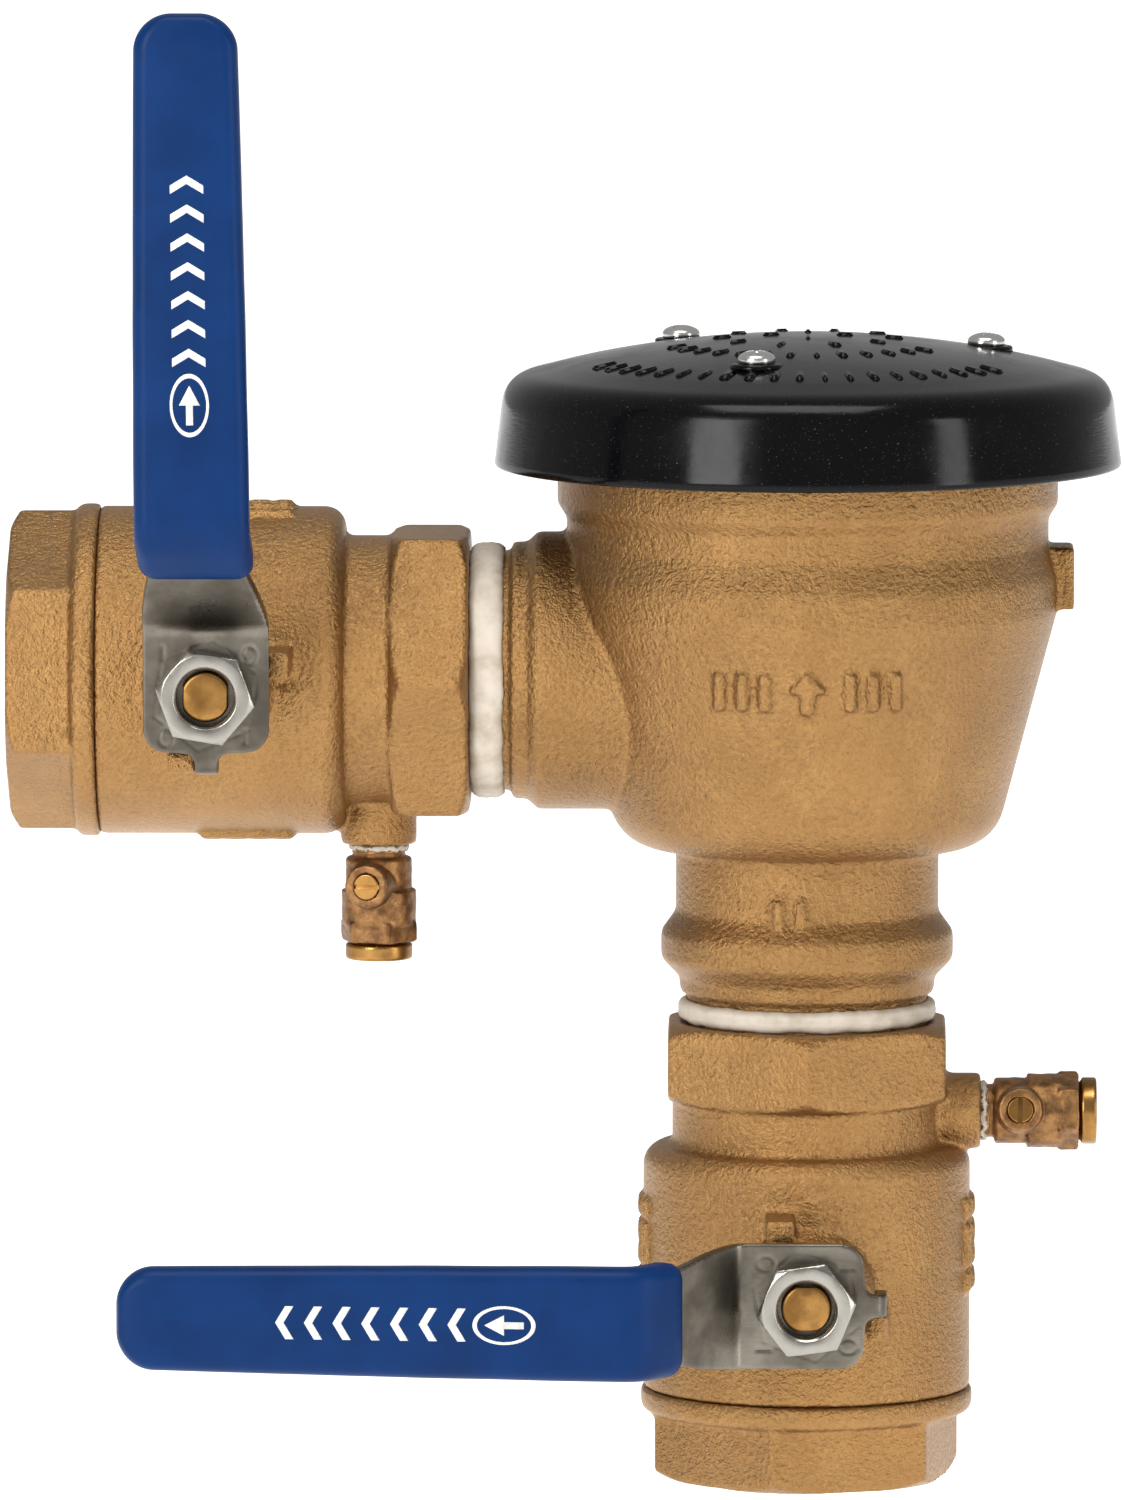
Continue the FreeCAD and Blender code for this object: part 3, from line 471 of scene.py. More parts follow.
def valveCasting(side):
    bm = nodeCopy(side + "_valve_body")
    tree = BVHTree.FromBMesh(bm)
    frameOf = valveFrame[side]
    turn = frameOf.to_3x3()
    m = valveMarks
    up = turn @ Vector((0, 0, 1))
    for way in (-1, 1):
        for row in range(m["rows"]):
            for bend in m["bends"]:
                angle = math.radians(bend)
                start = frameOf @ Vector((way * 0.2 * math.cos(angle), 0.2 * math.sin(angle),
                                          (m["firstRow"] + m["rowPitch"] * row) * mm))
                towards = turn @ Vector((-way * math.cos(angle), -math.sin(angle), 0))
                raisedOn(bm, tree, start, towards, up, barOutline(*m["bar"]), m["proud"])
    for ridge in range(m["ridges"]):
        start = frameOf @ Vector(((m["firstRidge"] + m["ridgePitch"] * ridge) * mm, -0.2,
                                  m["ridgeHeight"]))
        raisedOn(bm, tree, start, turn @ Vector((0, 1, 0)), up, barOutline(*m["ridge"]),
                 m["ridgeProud"])
    castPiece(side + "ValveCasting", bm, "valveBronze", side + "_valve_body")
    castPiece(side + "EndCasting", nodeCopy(side + "_end_piece"), "valveBronze",
              side + "_end_piece")


breakerCasting()
for side in valveFrame:
    valveCasting(side)
print("castings ready")


# Levers: a bent steel strip with a stop tab, and its dipped grip

leverShape = {"face": 58 * mm, "thick": 3 * mm, "firstBend": 16.7 * mm, "secondBend": 41 * mm,
              "gripPlane": 85 * mm, "length": 163 * mm, "plateHalf": 15.2 * mm,
              "armHalf": 10 * mm, "plateEnd": -14.1 * mm, "cornerRadius": 6 * mm,
              "tabHalf": 2.8 * mm, "tabNeck": 2.6 * mm, "tabAt": -18 * mm, "tabFoot": 50.6 * mm,
              "endRound": 8 * mm, "voxel": 0.42 * mm, "rounds": 3, "most": 190000}
armShift = {"inlet": (0.9 * mm, -0.5 * mm), "outlet": (2.3 * mm, 3.6 * mm)}


def shiftAt(side, along):
    near, far = armShift[side]
    s = leverShape
    if along < s["firstBend"]:
        return 0.0
    if along < s["secondBend"]:
        return near * (along - s["firstBend"]) / (s["secondBend"] - s["firstBend"])
    return near + (far - near) * (along - s["secondBend"]) / (s["length"] - s["secondBend"])


def leverHalfWidth(along, height):
    s = leverShape
    if height < s["face"] - 0.5 * mm or along < s["plateEnd"] - s["tabNeck"]:
        return s["tabHalf"]
    if along < s["plateEnd"]:
        gap = (s["plateEnd"] - along) / s["tabNeck"]
        return s["tabHalf"] + s["tabNeck"] * (1 - math.sqrt(1 - (1 - gap) ** 2))
    corner = s["plateEnd"] + s["cornerRadius"]
    if along < corner:
        gap = (corner - along) / s["cornerRadius"]
        return s["plateHalf"] - s["cornerRadius"] * (1 - math.sqrt(max(0, 1 - gap * gap)))
    blend = (along - s["firstBend"]) / (s["secondBend"] - s["firstBend"])
    blend = min(1, max(0, blend))
    return s["plateHalf"] + (s["armHalf"] - s["plateHalf"]) * blend * blend * (3 - 2 * blend)


# Millimetres from the pivot, along the lever and across it
leverStampShape = {"circles": ((-10.2, 9.6), (9.8, -10.6)), "circleRadius": 1.7, "squash": 0.8,
                   "bars": ((-10.0, -9.4), (10.2, 10.4)), "barHalf": (1.6, 0.2),
                   "lineWidth": 0.38, "depth": 0.16 * mm, "nutReach": 11.7, "nutWidth": 0.3,
                   "nutShare": 0.6, "nutTurn": {"inlet": 10, "outlet": 22}}


def leverStamps(side):
    # Circles, short bars and a nut's outline, pressed into the plate.
    p = leverStampShape
    turn = math.radians(p["nutTurn"][side])

    def depthAt(along, across):
        depth = 0.0
        for a, b in p["circles"]:
            gap = math.hypot((along / mm - a) * p["squash"], across / mm - b) - p["circleRadius"]
            depth = max(depth, math.exp(-(gap / p["lineWidth"]) ** 2))
        for a, b in p["bars"]:
            gap = max(abs(along / mm - a) - p["barHalf"][0],
                      abs(across / mm - b) - p["barHalf"][1], 0)
            depth = max(depth, math.exp(-(gap / p["lineWidth"]) ** 2))
        reach = max(abs(math.hypot(along, across) / mm
                        * math.cos(math.atan2(across, along) - turn - k * math.pi / 3))
                    for k in range(3))
        rub = math.exp(-((reach - p["nutReach"]) / p["nutWidth"]) ** 2)
        return p["depth"] * max(depth, p["nutShare"] * rub)
    return depthAt


def leverStrip(side):
    s = leverShape
    middle = s["face"] + s["thick"] / 2
    path = roundedPath([(s["tabAt"], s["tabFoot"], 0), (s["tabAt"], middle, 2.2 * mm),
                        (s["firstBend"], middle, 6 * mm),
                        (s["secondBend"], s["gripPlane"], 6 * mm),
                        (s["length"], s["gripPlane"], 0)], 0.5 * mm)
    rings = []
    for i, point in enumerate(path):
        run = (path[min(i + 1, len(path) - 1)] - path[max(i - 1, 0)]).normalized()
        lift = Vector((-run.y, run.x)) * s["thick"] / 2
        half = leverHalfWidth(point.x, point.y)
        if point.x > s["length"] - s["endRound"]:
            gap = 1 - (s["length"] - point.x) / s["endRound"]
            half -= s["endRound"] * (1 - math.sqrt(max(0, 1 - gap * gap)))
        aside = shiftAt(side, point.x)
        rings.append([Vector((point.x + way * lift.x, aside + edge * half,
                              point.y + way * lift.y))
                      for way, edge in ((-1, -1), (-1, 1), (1, 1), (1, -1))])
    mesh = softened(loft(rings), side + "LeverStrip", s["voxel"], s["rounds"], s["most"])
    stamp = leverStamps(side)
    front = [v for v in mesh.vertices if abs(v.co.x) < s["firstBend"] and v.normal.z > 0.8]
    for vertex in front:
        vertex.co.z -= stamp(vertex.co.x, vertex.co.y)
    mesh.transform(leverFrame[side])
    coat = "steelAlongX" if side == "inlet" else "steelAlongZ"
    finishPiece(side + "LeverStrip", mesh, [coat], side + "_lever", "stainless_steel",
                side + "_handle")


gripShape = {"start": 32.6 * mm, "end": 166 * mm, "half": 13.9 * mm, "endHalf": 12.3 * mm,
             "thick": 9.4 * mm, "edge": 3.6 * mm, "endRound": 9 * mm, "points": 12,
             "printProud": 0.06 * mm, "ovalAt": 72.6 * mm, "ovalHalf": (7.6 * mm, 4.7 * mm),
             "ovalInner": 0.86, "ovalParts": 48, "arrow": (9.5 * mm, 5 * mm), "marks": 7,
             "marksFrom": 84 * mm, "markPitch": 6.9 * mm, "markHigh": 4.0 * mm,
             "markReach": 2.2 * mm, "markInner": 0.2 * mm, "lip": (0.9, 0.35, 0.1)}


def roundedSection(halfWidth, halfThick, edge, count):
    edge = min(edge, halfWidth * 0.99, halfThick * 0.99)
    section = []
    for corner in range(4):
        signX = (1, -1, -1, 1)[corner]
        signY = (1, 1, -1, -1)[corner]
        for step in range(count):
            angle = math.pi / 2 * (corner + step / (count - 1))
            section.append((signX * (halfWidth - edge) + edge * math.cos(angle),
                            signY * (halfThick - edge) + edge * math.sin(angle)))
    return section


def gripRings(side):
    g = gripShape
    s = leverShape
    ramp = (s["gripPlane"] - s["face"] - s["thick"] / 2) / (s["secondBend"] - s["firstBend"])
    startHeight = s["gripPlane"] - (s["secondBend"] - g["start"]) * ramp
    path = roundedPath([(g["start"], startHeight, 0),
                        (s["secondBend"], s["gripPlane"], 9 * mm),
                        (g["end"], s["gripPlane"], 0)], 1.2 * mm)
    tail = [Vector((g["end"] - g["endRound"] * (1 - math.sin(a * math.pi / 40)),
                    s["gripPlane"])) for a in range(1, 20)]
    path = [p for p in path if p.x < g["end"] - g["endRound"]] + tail
    rings = []
    for i, point in enumerate(path):
        run = (path[min(i + 1, len(path) - 1)] - path[max(i - 1, 0)]).normalized()
        lift = Vector((-run.y, run.x))
        share = (point.x - g["start"]) / (g["end"] - g["start"])
        half = g["half"] + (g["endHalf"] - g["half"]) * share ** 1.6
        thick = g["thick"] / 2
        fromEnd = g["end"] - point.x
        if fromEnd < g["endRound"]:
            curve = math.sqrt(max(0.0, 1 - (1 - fromEnd / g["endRound"]) ** 2))
            half = half - g["endRound"] * (1 - curve)
            thick = thick * (0.25 + 0.75 * math.sqrt(curve)) * min(1, 0.2 + 2 * curve)
        if i < len(g["lip"]):
            half -= g["lip"][i] * mm
            thick -= g["lip"][i] * mm
        half *= 1 + 0.006 * noise.noise(Vector((point.x * 60, 0, 3)))
        aside = shiftAt(side, point.x)
        rings.append([Vector((point.x + v * lift.x, aside + u, point.y + v * lift.y))
                      for u, v in roundedSection(half, thick, g["edge"], g["points"])])
    return rings


def gripPrint(bm, side):
    # An oval badge with a plain arrow, then a row of chevrons, all printed on the face.
    g = gripShape
    face = leverShape["gripPlane"] + g["thick"] / 2
    first = len(bm.faces)

    def stamp(points):
        turned = [(x, shiftAt(side, x) + y) for x, y in points]
        prism(bm, turned, -0.3 * mm, g["printProud"], Matrix.Translation((0, 0, face)))

    rx, ry = g["ovalHalf"]
    for k in range(g["ovalParts"]):
        a, b = (2 * math.pi * n / g["ovalParts"] for n in (k, k + 1))
        stamp([(g["ovalAt"] + rx * q * math.cos(t), ry * q * math.sin(t))
               for q, t in ((1, a), (1, b), (g["ovalInner"], b), (g["ovalInner"], a))])
    stamp([(g["ovalAt"] + v, -u) for u, v in arrowOutline(*g["arrow"])])
    for k in range(g["marks"]):
        x = g["marksFrom"] + k * g["markPitch"]
        for way in (-1, 1):
            points = [(x - g["markReach"], way * g["markHigh"]),
                      (x - g["markInner"], way * g["markHigh"]),
                      (x + g["markReach"], 0), (x + g["markInner"], 0)]
            stamp(points if way < 0 else points[::-1])
    bm.faces.ensure_lookup_table()
    for stamped in bm.faces[first:]:
        stamped.material_index = 1


def leverGrip(side):
    bm = loft(gripRings(side))
    gripPrint(bm, side)
    mesh = toMesh(bm, side + "DippedGrip")
    mesh.transform(leverFrame[side])
    finishPiece(side + "DippedGrip", mesh, ["dippedVinyl", "whitePrint"], side + "_lever",
                "grip_vinyl", side + "_grip")


# Nuts, with the chamfer that a turned hexagon has

def hexRings(af, low, high, chamfer, holeRadius, turn, relief):
    # Rings of one profile at each angle: bore, faces and a hexagon cut by a cone.
    rings = []
    steps = 144
    for step in range(steps):
        angle = 2 * math.pi * step / steps
        local = (angle - turn) % (math.pi / 3) - math.pi / 6
        flat = af / 2 / math.cos(local)
        profile = [(holeRadius, low)]
        profile.append((min(flat, af / 2 + chamfer), low))
        profile += [(min(flat, af / 2 * 0.985 + (high - z) * 1.9), z)
                    for z in [low + (high - low) * (0.35 + 0.65 * k / 14) for k in range(15)]]
        profile += [(holeRadius + relief, high), (holeRadius, high - relief)]
        rings.append([Vector((r * math.cos(angle), r * math.sin(angle), z))
                      for r, z in profile])
    return rings


nutShape = {"af": 21.2 * mm, "low": 61 * mm, "high": 68 * mm, "hole": 7.0 * mm,
            "chamfer": 0.6 * mm, "relief": 0.7 * mm,
            "turn": {"inlet": math.radians(8), "outlet": math.radians(20)}}


def handleNut(side):
    n = nutShape
    bm = loft(hexRings(n["af"], n["low"], n["high"], n["chamfer"], n["hole"],
                       n["turn"][side], n["relief"]), closed=True)
    mesh = toMesh(bm, side + "HandleNut")
    mesh.transform(leverFrame[side])
    bevel = shaped(mesh, ("BEVEL", {"width": 0.00022, "segments": 2, "limit_method": "ANGLE",
                                    "angle_limit": math.radians(22)}))
    finishPiece(side + "HandleNut", bevel, ["nutSteel"], side + "_lever", "stainless_steel",
                side + "_handle_nut")


stemShape = {"radius": 6.1 * mm, "flat": 5.45 * mm, "low": 56.5 * mm, "high": 65.6 * mm}


def stemEnd(side):
    # A turned brass stem with two flats and a rounded end.
    s = stemShape
    rings = []
    levels = [(s["low"], 0), (s["high"] - 0.9 * mm, 0), (s["high"] - 0.35 * mm, 0.2 * mm),
              (s["high"] - 0.1 * mm, 0.5 * mm), (s["high"], 1.0 * mm)]
    for z, less in levels:
        ring = []
        for step in range(96):
            angle = 2 * math.pi * step / 96
            x = (s["radius"] - less) * math.cos(angle)
            y = (s["radius"] - less) * math.sin(angle)
            limit = s["flat"] - 0.4 * less
            ring.append(Vector((x, max(-limit, min(limit, y)), z)))
        rings.append(ring)
    for share, z in ((0.5, s["high"] + 0.02 * mm), (0.12, s["high"] - 0.1 * mm)):
        rings.append([Vector((p.x * share, p.y * share, z)) for p in rings[4]])
    bm = nodeCopy(side + "_stem")
    bm.transform(leverFrame[side].inverted())
    cut = bmesh.ops.bisect_plane(bm, geom=bm.verts[:] + bm.edges[:] + bm.faces[:],
                                 plane_co=(0, 0, s["low"] + 0.3 * mm), plane_no=(0, 0, 1),
                                 clear_outer=True)["geom_cut"]
    bmesh.ops.holes_fill(bm, edges=[e for e in cut if isinstance(e, bmesh.types.BMEdge)],
                         sides=0)
    end = toMesh(loft(rings), "end")
    bm.from_mesh(end)
    mesh = toMesh(bm, side + "BrassStem")
    mesh.transform(leverFrame[side])
    finishPiece(side + "BrassStem", mesh, ["turnedBrass"], side + "_lever", "machined_brass",
                side + "_stem", smooth=False)
    for polygon in mesh.polygons:
        polygon.use_smooth = polygon.area < 2e-5


for side in valveFrame:
    leverStrip(side)
    leverGrip(side)
    handleNut(side)
    stemEnd(side)
print("levers ready")


# Canopy: one moulded dome with raised marks and three screws

canopyShape = {"foot": 249 * mm, "footRadius": 76.6 * mm, "topRadius": 74.1 * mm,
               "apex": 281 * mm, "domeRadius": 260 * mm, "shoulder": 9 * mm, "wall": 3 * mm,
               "steps": 256, "screwCircle": 45 * mm, "screwSeat": 277.5 * mm,
               "screwAngles": (-106, 14, 134), "padRadius": 6.6 * mm,
               "padHole": 0.6 * mm, "padTop": 0.6 * mm, "padFoot": -1 * mm, "padSteps": 48,
               "padSink": 0.65 * mm, "markHeight": 1.3 * mm, "markBevel": 0.35 * mm}


def domeHeight(radius):
    return canopyShape["apex"] - radius * radius / (2 * canopyShape["domeRadius"])


def canopyProfile():
    # Outside from the crown down to the lip, then back up the inside.
    c = canopyShape
    outside = [Vector((r * mm, domeHeight(r * mm))) for r in range(4, 60, 4)]
    corner = domeHeight(c["topRadius"])
    outside += roundedPath([(60 * mm, domeHeight(60 * mm), 0),
                            (c["topRadius"], corner, c["shoulder"]),
                            (c["footRadius"], c["foot"] + 0.8 * mm, 0)], 1.5 * mm)
    lip = [Vector((c["footRadius"] - 0.3 * mm, c["foot"] + 0.2 * mm)),
           Vector((c["footRadius"] - 1.0 * mm, c["foot"])),
           Vector((c["footRadius"] - c["wall"] + 0.4 * mm, c["foot"]))]
    inside = []
    for i in range(1, len(outside)):
        run = (outside[i] - outside[i - 1]).normalized()
        inside.append(outside[i] + Vector((run.y, -run.x)) * c["wall"])
    inside = [p for p in inside if p.x > 3 * mm]
    return outside, lip + inside[::-1]


def spun(profile, steps):
    # A profile turned about Z; its open ends are filled.
    rings = []
    for step in range(steps):
        angle = 2 * math.pi * step / steps
        rings.append([Vector((p[0] * math.cos(angle), p[0] * math.sin(angle), p[1]))
                      for p in profile])
    bm = bmesh.new()
    rows = [[bm.verts.new(point) for point in ring] for ring in rings]
    for a, b in zip(rows, rows[1:] + rows[:1]):
        for i in range(len(profile) - 1):
            bm.faces.new((a[i], b[i], b[i + 1], a[i + 1]))
    bmesh.ops.holes_fill(bm, edges=[e for e in bm.edges if e.is_boundary], sides=0)
    bmesh.ops.recalc_face_normals(bm, faces=bm.faces)
    return bm


def socketOf(tree, name):
    return next(item.identifier for item in tree.interface.items_tree
                if item.item_type == "SOCKET" and item.name == name)


def domeMarkTree():
    # Raised bars set round an arc of the dome, each of its own width.
    tree = bpy.data.node_groups.new("domeMarks", "GeometryNodeTree")
    tree.interface.new_socket("Geometry", in_out="OUTPUT", socket_type="NodeSocketGeometry")
    for name, kind in (("Count", "Int"), ("Arc radius", "Float"), ("Start angle", "Float"),
                       ("Angle step", "Float"), ("Bar length", "Float"),
                       ("Bar width", "Float"), ("Bar height", "Float"),
                       ("Dome radius", "Float"), ("Apex", "Float"), ("Seed", "Int")):
        tree.interface.new_socket(name, in_out="INPUT", socket_type="NodeSocket" + kind)
    tree.interface.new_socket("Finish", in_out="INPUT", socket_type="NodeSocketMaterial")

    def add(kind, settings=None, sockets=None):
        node = tree.nodes.new(kind)
        for key, value in (settings or {}).items():
            setattr(node, key, value)
        for key, value in (sockets or {}).items():
            if isinstance(value, bpy.types.NodeSocket):
                tree.links.new(value, node.inputs[key])
            else:
                node.inputs[key].default_value = value
        return node

    def maths(operation, first, second=0.0):
        return add("ShaderNodeMath", {"operation": operation}, {0: first, 1: second}).outputs[0]

    given = add("NodeGroupInput").outputs
    index = add("GeometryNodeInputIndex").outputs[0]
    angle = maths("ADD", given["Start angle"], maths("MULTIPLY", index, given["Angle step"]))
    radius = given["Arc radius"]
    drop = maths("DIVIDE", maths("MULTIPLY", radius, radius),
                 maths("MULTIPLY", given["Dome radius"], 2.0))
    where = add("ShaderNodeCombineXYZ", None, {
        0: maths("MULTIPLY", radius, maths("COSINE", angle)),
        1: maths("MULTIPLY", radius, maths("SINE", angle)),
        2: maths("SUBTRACT", given["Apex"], drop)}).outputs[0]
    points = add("GeometryNodePoints", None, {"Count": given["Count"], "Position": where})
    turn = add("ShaderNodeCombineXYZ", None, {
        1: maths("DIVIDE", radius, given["Dome radius"]), 2: angle}).outputs[0]
    size = add("ShaderNodeCombineXYZ", None, {
        0: given["Bar length"], 1: given["Bar width"], 2: given["Bar height"]}).outputs[0]
    bar = add("GeometryNodeMeshCube", None, {"Size": size}).outputs[0]
    width = add("FunctionNodeRandomValue", {"data_type": "FLOAT"},
                {2: 0.55, 3: 1.5, "Seed": given["Seed"]}).outputs[1]
    scale = add("ShaderNodeCombineXYZ", None, {0: 1.0, 1: width, 2: 1.0}).outputs[0]
    placed = add("GeometryNodeInstanceOnPoints", None, {
        "Points": points.outputs[0], "Instance": bar, "Rotation": turn, "Scale": scale})
    whole = add("GeometryNodeRealizeInstances", None, {0: placed.outputs[0]})
    coated = add("GeometryNodeSetMaterial", None, {
        "Geometry": whole.outputs[0], "Material": given["Finish"]})
    add("NodeGroupOutput", None, {0: coated.outputs[0]})
    return tree


# Arc radius, count, start angle and angle step in degrees, bar length and width
markArcs = [(55, 20, 206, 6.2, 6.0, 1.7), (55, 9, 70, 6.2, 6.0, 1.7),
            (34, 13, 200, 10.5, 5.0, 1.6), (21, 10, 0, 36, 4.5, 1.6), (9, 4, 0, 90, 4.0, 1.6)]


def domeMarks():
    tree = domeMarkTree()
    bm = bmesh.new()
    for seed, (radius, count, start, step, length, width) in enumerate(markArcs):
        holder = bpy.data.objects.new("markHolder", bpy.data.meshes.new("markHolder"))
        scene.collection.objects.link(holder)
        modifier = holder.modifiers.new("marks", "NODES")
        modifier.node_group = tree
        values = {"Count": count, "Arc radius": radius * mm, "Start angle": math.radians(start),
                  "Angle step": math.radians(step), "Bar length": length * mm,
                  "Bar width": width * mm, "Bar height": canopyShape["markHeight"],
                  "Dome radius": canopyShape["domeRadius"], "Apex": canopyShape["apex"],
                  "Seed": seed + 3, "Finish": finishes["glossBlack"]}
        for name, value in values.items():
            modifier[socketOf(tree, name)] = value
        graph = bpy.context.evaluated_depsgraph_get()
        mesh = bpy.data.meshes.new_from_object(holder.evaluated_get(graph))
        bm.from_mesh(mesh)
        bpy.data.objects.remove(holder)
    bmesh.ops.bevel(bm, geom=bm.edges[:], offset=canopyShape["markBevel"], segments=2,
                    affect="EDGES")
    return bm


def canopyDome():
    c = canopyShape
    outside, inside = canopyProfile()
    bm = spun(outside + inside, c["steps"])
    marks = toMesh(domeMarks(), "marks")
    bm.from_mesh(marks)
    for angle in c["screwAngles"]:
        pad = spun([(c["padHole"], c["padFoot"]), (c["padRadius"], c["padFoot"]),
                    (c["padRadius"] - 0.2 * mm, 0.35 * mm),
                    (c["padRadius"] - 0.6 * mm, c["padTop"]),
                    (c["padHole"], c["padTop"])], c["padSteps"])
        padMesh = toMesh(pad, "pad")
        padMesh.transform(Matrix.Rotation(math.radians(angle), 4, "Z")
                          @ Matrix.Translation((c["screwCircle"], 0,
                                                c["screwSeat"] - c["padSink"])))
        bm.from_mesh(padMesh)
    mesh = toMesh(bm, "canopyDome")
    finishPiece("canopyDome", mesh, ["glossBlack"], "valve_set", "canopy_plastic", "canopy")


screwShape = {"head": 4.6 * mm, "height": 3.2 * mm, "shank": 2 * mm, "length": 14 * mm,
              "slot": 0.95 * mm, "slotReach": 2.6 * mm, "slotDepth": 1.5 * mm,
              "steps": 48}


def canopyScrews():
    s = screwShape
    head = [(s["shank"], -s["length"]), (s["shank"], 0), (s["head"] - 0.2 * mm, 0),
            (s["head"], 0.3 * mm), (s["head"], 1.1 * mm)]
    head += [((s["head"]) * math.cos(a), 1.1 * mm + (s["height"] - 1.1 * mm) * math.sin(a))
             for a in [math.pi / 2 * k / 8 for k in range(1, 8)]]
    blades = bmesh.new()
    for turn in (0, math.pi / 2):
        prism(blades, barOutline(2 * s["slotReach"], s["slot"]), s["height"] - s["slotDepth"],
              s["height"] + 1 * mm, Matrix.Rotation(turn, 4, "Z"))
    cutter = bpy.data.objects.new("cutter", toMesh(blades, "cutter"))
    scene.collection.objects.link(cutter)
    screw = shaped(toMesh(spun(head, s["steps"]), "screw"),
                   ("BOOLEAN", {"operation": "DIFFERENCE", "object": cutter,
                                "solver": "EXACT", "use_self": True}),
                   ("BEVEL", {"width": 0.00012, "segments": 1, "limit_method": "ANGLE",
                              "angle_limit": math.radians(40)}))
    bpy.data.objects.remove(cutter)
    bm = bmesh.new()
    for number, angle in enumerate(canopyShape["screwAngles"]):
        copy = screw.copy()
        copy.transform(Matrix.Rotation(math.radians(angle), 4, "Z")
                       @ Matrix.Translation((canopyShape["screwCircle"], 0,
                                             canopyShape["screwSeat"]))
                       @ Matrix.Rotation(math.radians(37 * number + 20), 4, "Z"))
        bm.from_mesh(copy)
    finishPiece("panHeadScrews", toMesh(bm, "panHeadScrews"), ["brightSteel"], "valve_set",
                "screw_steel", "canopy_screws")


canopyDome()
canopyScrews()
print("canopy ready")


# Wrapped tape, screw threads and test cocks

tapeShape = {"steps": 360, "levels": 14, "wrap": 2.1 * mm, "rough": 0.14 * mm,
             "edge": 0.6 * mm, "sink": 1.8 * mm, "inletThick": 2.3 * mm, "inletSeed": 2,
             "outletThick": 2.0 * mm, "outletSeed": 9}


def wornTape(low, high, inner, outer, seed, ragged=1.0):
    # A band of overlapping wraps: steps along it, a wandering edge, a rough face.
    t = tapeShape
    rings = []
    levels = t["levels"]
    for step in range(t["steps"]):
        angle = 2 * math.pi * step / t["steps"]
        about = Vector((math.cos(angle), math.sin(angle), 0)) * 2.2
        wander = [noise.noise(about * 1.7 + Vector((0, 0, seed + k))) * t["edge"] * ragged
                  + noise.noise(about * 7 + Vector((0, 0, seed + k))) * t["edge"] * 0.5 * ragged
                  for k in (1, 5)]
        ring = [Vector((inner, 0, low))]
        for level in range(levels + 1):
            share = level / levels
            z = low + (high - low) * share + wander[0] * (1 - share) + wander[1] * share
            fold = (z / t["wrap"] - angle / (2 * math.pi)) % 1.0
            lump = noise.noise(about * 5 + Vector((0, 0, z * 600 + seed)))
            crown = 1 - abs(2 * share - 1) ** 4
            r = inner + (outer - inner) * (0.35 + 0.65 * crown)
            r += (fold * t["rough"] + lump * 0.4 * t["rough"] * ragged) * crown
            ring.append(Vector((r, 0, z)))
        ring.append(Vector((inner, 0, high)))
        spin = Matrix.Rotation(angle, 3, "Z")
        rings.append([spin @ point for point in ring])
    return loft(rings, closed=True)


def threadSleeve(radius, wall, low, high, pitch, depth):
    # A helical thread cut on one face of a thin sleeve; depth below zero points inwards.
    rings = []
    steps = 180
    levels = int((high - low) / pitch * 8)
    for step in range(steps):
        angle = 2 * math.pi * step / steps
        spin = Matrix.Rotation(angle, 3, "Z")
        ring = [Vector((wall, 0, low))]
        for level in range(levels + 1):
            z = low + (high - low) * level / levels
            phase = (z / pitch - angle / (2 * math.pi)) % 1.0
            peak = min(1.0, max(0.0, 1.25 - abs(phase - 0.5) * 3.2))
            ring.append(Vector((radius + depth * peak, 0, z)))
        ring.append(Vector((wall, 0, high)))
        rings.append([spin @ point for point in ring])
    return loft(rings, closed=True)


def tapeBands():
    t = tapeShape
    low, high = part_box("inlet_thread_tape")
    inner = (high[0] - low[0]) / 2 - t["sink"]
    mesh = toMesh(wornTape(low[2] + 0.2 * mm, high[2] + 0.3 * mm, inner,
                           inner + t["inletThick"], t["inletSeed"]), "inletTapeBand")
    finishPiece("inletTapeBand", mesh, ["wrappedTape"], "valve_set", "thread_tape",
                "inlet_thread_tape")
    low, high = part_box("outlet_thread_tape")
    centre = (low[2] + high[2]) / 2
    mesh = toMesh(wornTape(-high[0] - 0.4 * mm, -low[0] - 0.2 * mm, inner,
                           inner + t["outletThick"], t["outletSeed"]), "outletTapeBand")
    mesh.transform(Matrix.Translation((0, 0, centre)) @ Matrix.Rotation(-math.pi / 2, 4, "Y"))
    finishPiece("outletTapeBand", mesh, ["wrappedTape"], "valve_set", "thread_tape",
                "outlet_thread_tape")


cockShape = {"reach": 42.7 * mm, "axis": 90 * mm, "threadRadius": 6.4 * mm,
             "bodyFrom": 3.2 * mm, "voxel": 0.3 * mm, "rounds": 2,
             "sleeve": 5.0 * mm, "pitch": 1.4 * mm, "threadDepth": 0.7 * mm,
             "tape": (-0.1 * mm, 1.5 * mm, 5.6 * mm, 7.3 * mm), "ragged": 1.5,
             "tapeSeed": {"inlet": 4, "outlet": 6}}
# Each part of a cock: triangles at most, lump size, coat and slot
cockParts = {"body": (90000, 0.16 * mm, "cockBronze", "cast_bronze"),
             "tip": (60000, 0.02 * mm, "turnedBrass", "machined_brass")}
portShape = {"radius": 28.5 * mm, "wall": 29.3 * mm, "low": 1.0 * mm, "high": 18.6 * mm,
             "pitch": 2.2 * mm, "depth": -1.15 * mm}


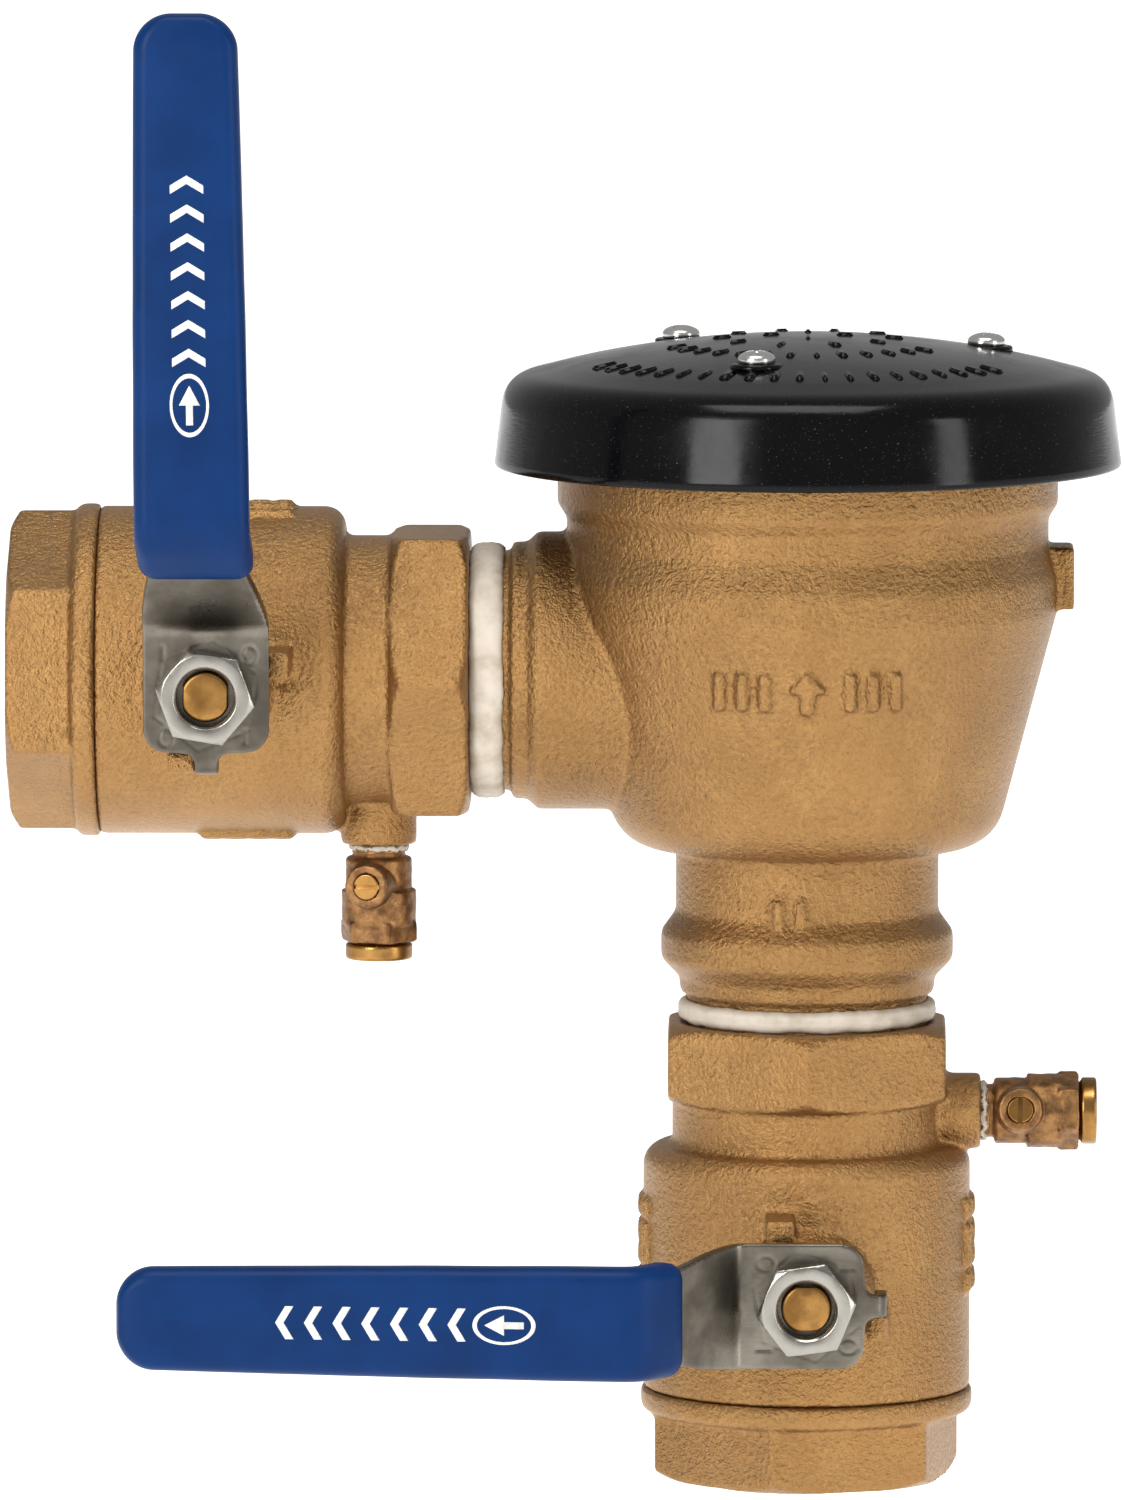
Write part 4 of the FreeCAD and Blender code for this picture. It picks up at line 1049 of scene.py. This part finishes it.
def cockAndPort(side):
    c = cockShape
    p = portShape
    along = valveFrame[side] @ Matrix.Translation((c["reach"], 0, c["axis"])) \
        @ Matrix.Rotation(math.pi / 2, 4, "Y")
    for kind, (most, lumpSize, coat, slotName) in cockParts.items():
        node = side + "_cock_" + kind
        name = side + "Cock" + kind.title()
        mesh = softened(nodeCopy(node), name, c["voxel"], c["rounds"], most)
        lumps = [v.normal * noise.noise(v.co * 420) * lumpSize for v in mesh.vertices]
        for vertex, lump in zip(mesh.vertices, lumps):
            vertex.co += lump
        finishPiece(name, mesh, [coat], "valve_set", slotName, node)
    threads = toMesh(threadSleeve(c["threadRadius"] - 0.5 * mm, c["sleeve"], 0.2 * mm,
                                  c["bodyFrom"] + 0.4 * mm, c["pitch"], c["threadDepth"]),
                     side + "CockThread")
    threads.transform(along)
    finishPiece(side + "CockThread", threads, ["turnedBrass"], "valve_set", "machined_brass")
    tape = toMesh(wornTape(*c["tape"], c["tapeSeed"][side], c["ragged"]),
                  side + "CockTapeShreds")
    tape.transform(along)
    finishPiece(side + "CockTapeShreds", tape, ["wrappedTape"], "valve_set", "thread_tape",
                side + "_cock_tape")
    port = toMesh(threadSleeve(p["radius"], p["wall"], p["low"], p["high"], p["pitch"],
                               p["depth"]), side + "PortThread")
    port.transform(valveFrame[side])
    finishPiece(side + "PortThread", port, ["turnedBrass"], "valve_set", "machined_brass")


tapeBands()
for side in valveFrame:
    cockAndPort(side)
print("tape, threads and cocks ready")


# Coil springs, wound at rest in the places of the CAD springs; in use the two poppets lift their
# lower ends

springShape = {"sides": 14, "stepsPerTurn": 44,
               "check_spring": {"joint": "check_lift", "wire": 1.8 * mm, "turns": 6,
                                "travel": 10 * mm, "name": "checkSpring"},
               "air_poppet_spring": {"joint": "air_inlet_lift", "wire": 1.2 * mm, "turns": 5,
                                     "travel": 5.9 * mm, "name": "airSpring"}}


def coilSpring(node):
    s = springShape[node]
    low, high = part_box(node)
    wire = s["wire"]
    radius = (high[0] - low[0] - wire) / 2
    rise = high[2] - low[2] - wire
    turns = s["turns"] + 2
    steps = turns * springShape["stepsPerTurn"]
    rings = []
    for step in range(steps + 1):
        turn = turns * step / steps
        closed = min(turn, 1) + max(turn - turns + 1, 0)
        height = closed * wire + (rise - 2 * wire) * min(max(turn - 1, 0), s["turns"]) \
            / s["turns"]
        angle = 2 * math.pi * turn
        outward = Vector((math.cos(angle), math.sin(angle), 0))
        centre = outward * radius + Vector((0, 0, low[2] + wire / 2 + height))
        rings.append([centre + (outward * math.cos(a) + Vector((0, 0, math.sin(a)))) * wire / 2
                      for a in [2 * math.pi * k / springShape["sides"]
                                for k in range(springShape["sides"])]])
    mesh = toMesh(loft(rings), s["name"])
    piece = finishPiece(s["name"], mesh, ["springWire"], "valve_set", "spring_steel", node)
    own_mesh(piece)


for node in ("check_spring", "air_poppet_spring"):
    coilSpring(node)
print("springs ready")


# Floor, light and camera

# The assembly hangs on its inlet pipe, so the floor lies below the open lever's reach
studio = {"floorSize": 24.0, "floorDrop": 0.14, "world": 0.45, "glow": 0.9}


def studioFloor():
    s = studio
    f = Finish("paleFloor", Roughness=0.9, Specular_IOR_Level=0.1,
               Emission_Color=(1, 1, 1, 1), Emission_Strength=s["glow"])
    cloud = f.noise(1.2, 2, 0.5)
    f.feed(Base_Color=f.mixColour(cloud, (0.86, 0.86, 0.86, 1), (0.90, 0.90, 0.90, 1)))
    half = s["floorSize"]
    mesh = bpy.data.meshes.new("studioFloor")
    mesh.from_pydata([(x, y, -s["floorDrop"]) for x, y in
                      ((-half, -half), (half, -half), (half, half), (-half, half))],
                     [], [(0, 1, 2, 3)])
    mesh.materials.append(f.material)
    floor = bpy.data.objects.new("studioFloor", mesh)
    scene.collection.objects.link(floor)


def softLight(name, where, target, size, power):
    light = bpy.data.lights.new(name, "AREA")
    light.shape = "RECTANGLE"
    light.size, light.size_y = size
    light.energy = power
    holder = bpy.data.objects.new(name, light)
    holder.location = where
    aim = Vector(target) - Vector(where)
    holder.rotation_euler = aim.to_track_quat("-Z", "Y").to_euler()
    scene.collection.objects.link(holder)


def studioLights():
    world = bpy.data.worlds.new("studioWorld")
    world.use_nodes = True
    back = world.node_tree.nodes["Background"]
    back.inputs[0].default_value = (1, 1, 1, 1)
    back.inputs[1].default_value = studio["world"]
    scene.world = world
    middle = (-0.05, 0, 0.18)
    softLight("leftBox", (-1.15, -1.7, 0.8), middle, (0.7, 1.1), 27)
    softLight("rightBox", (1.7, -1.2, 0.5), middle, (0.4, 1.3), 11)
    softLight("topBox", (-0.1, -0.5, 1.6), middle, (1.1, 0.7), 16)


view = {"middle": (-0.0601, 0.0, 0.1788), "camX": 0.0, "distance": 3.8, "elevation": 6.2,
        "tall": 0.3675}


def studioCamera():
    v = view
    camera = bpy.data.cameras.new("studioCamera")
    camera.sensor_width = 36
    rise = math.radians(v["elevation"])
    middle = Vector(v["middle"])
    where = Vector((v["camX"], -v["distance"] * math.cos(rise),
                    middle.z + v["distance"] * math.sin(rise)))
    camera.lens = camera.sensor_width * (where - middle).length / v["tall"]
    camera.clip_end = 50
    holder = bpy.data.objects.new("studioCamera", camera)
    holder.location = where
    holder.rotation_euler = (middle - where).to_track_quat("-Z", "Y").to_euler()
    scene.collection.objects.link(holder)
    scene.camera = holder


studioFloor()
studioLights()
studioCamera()
print("studio ready")
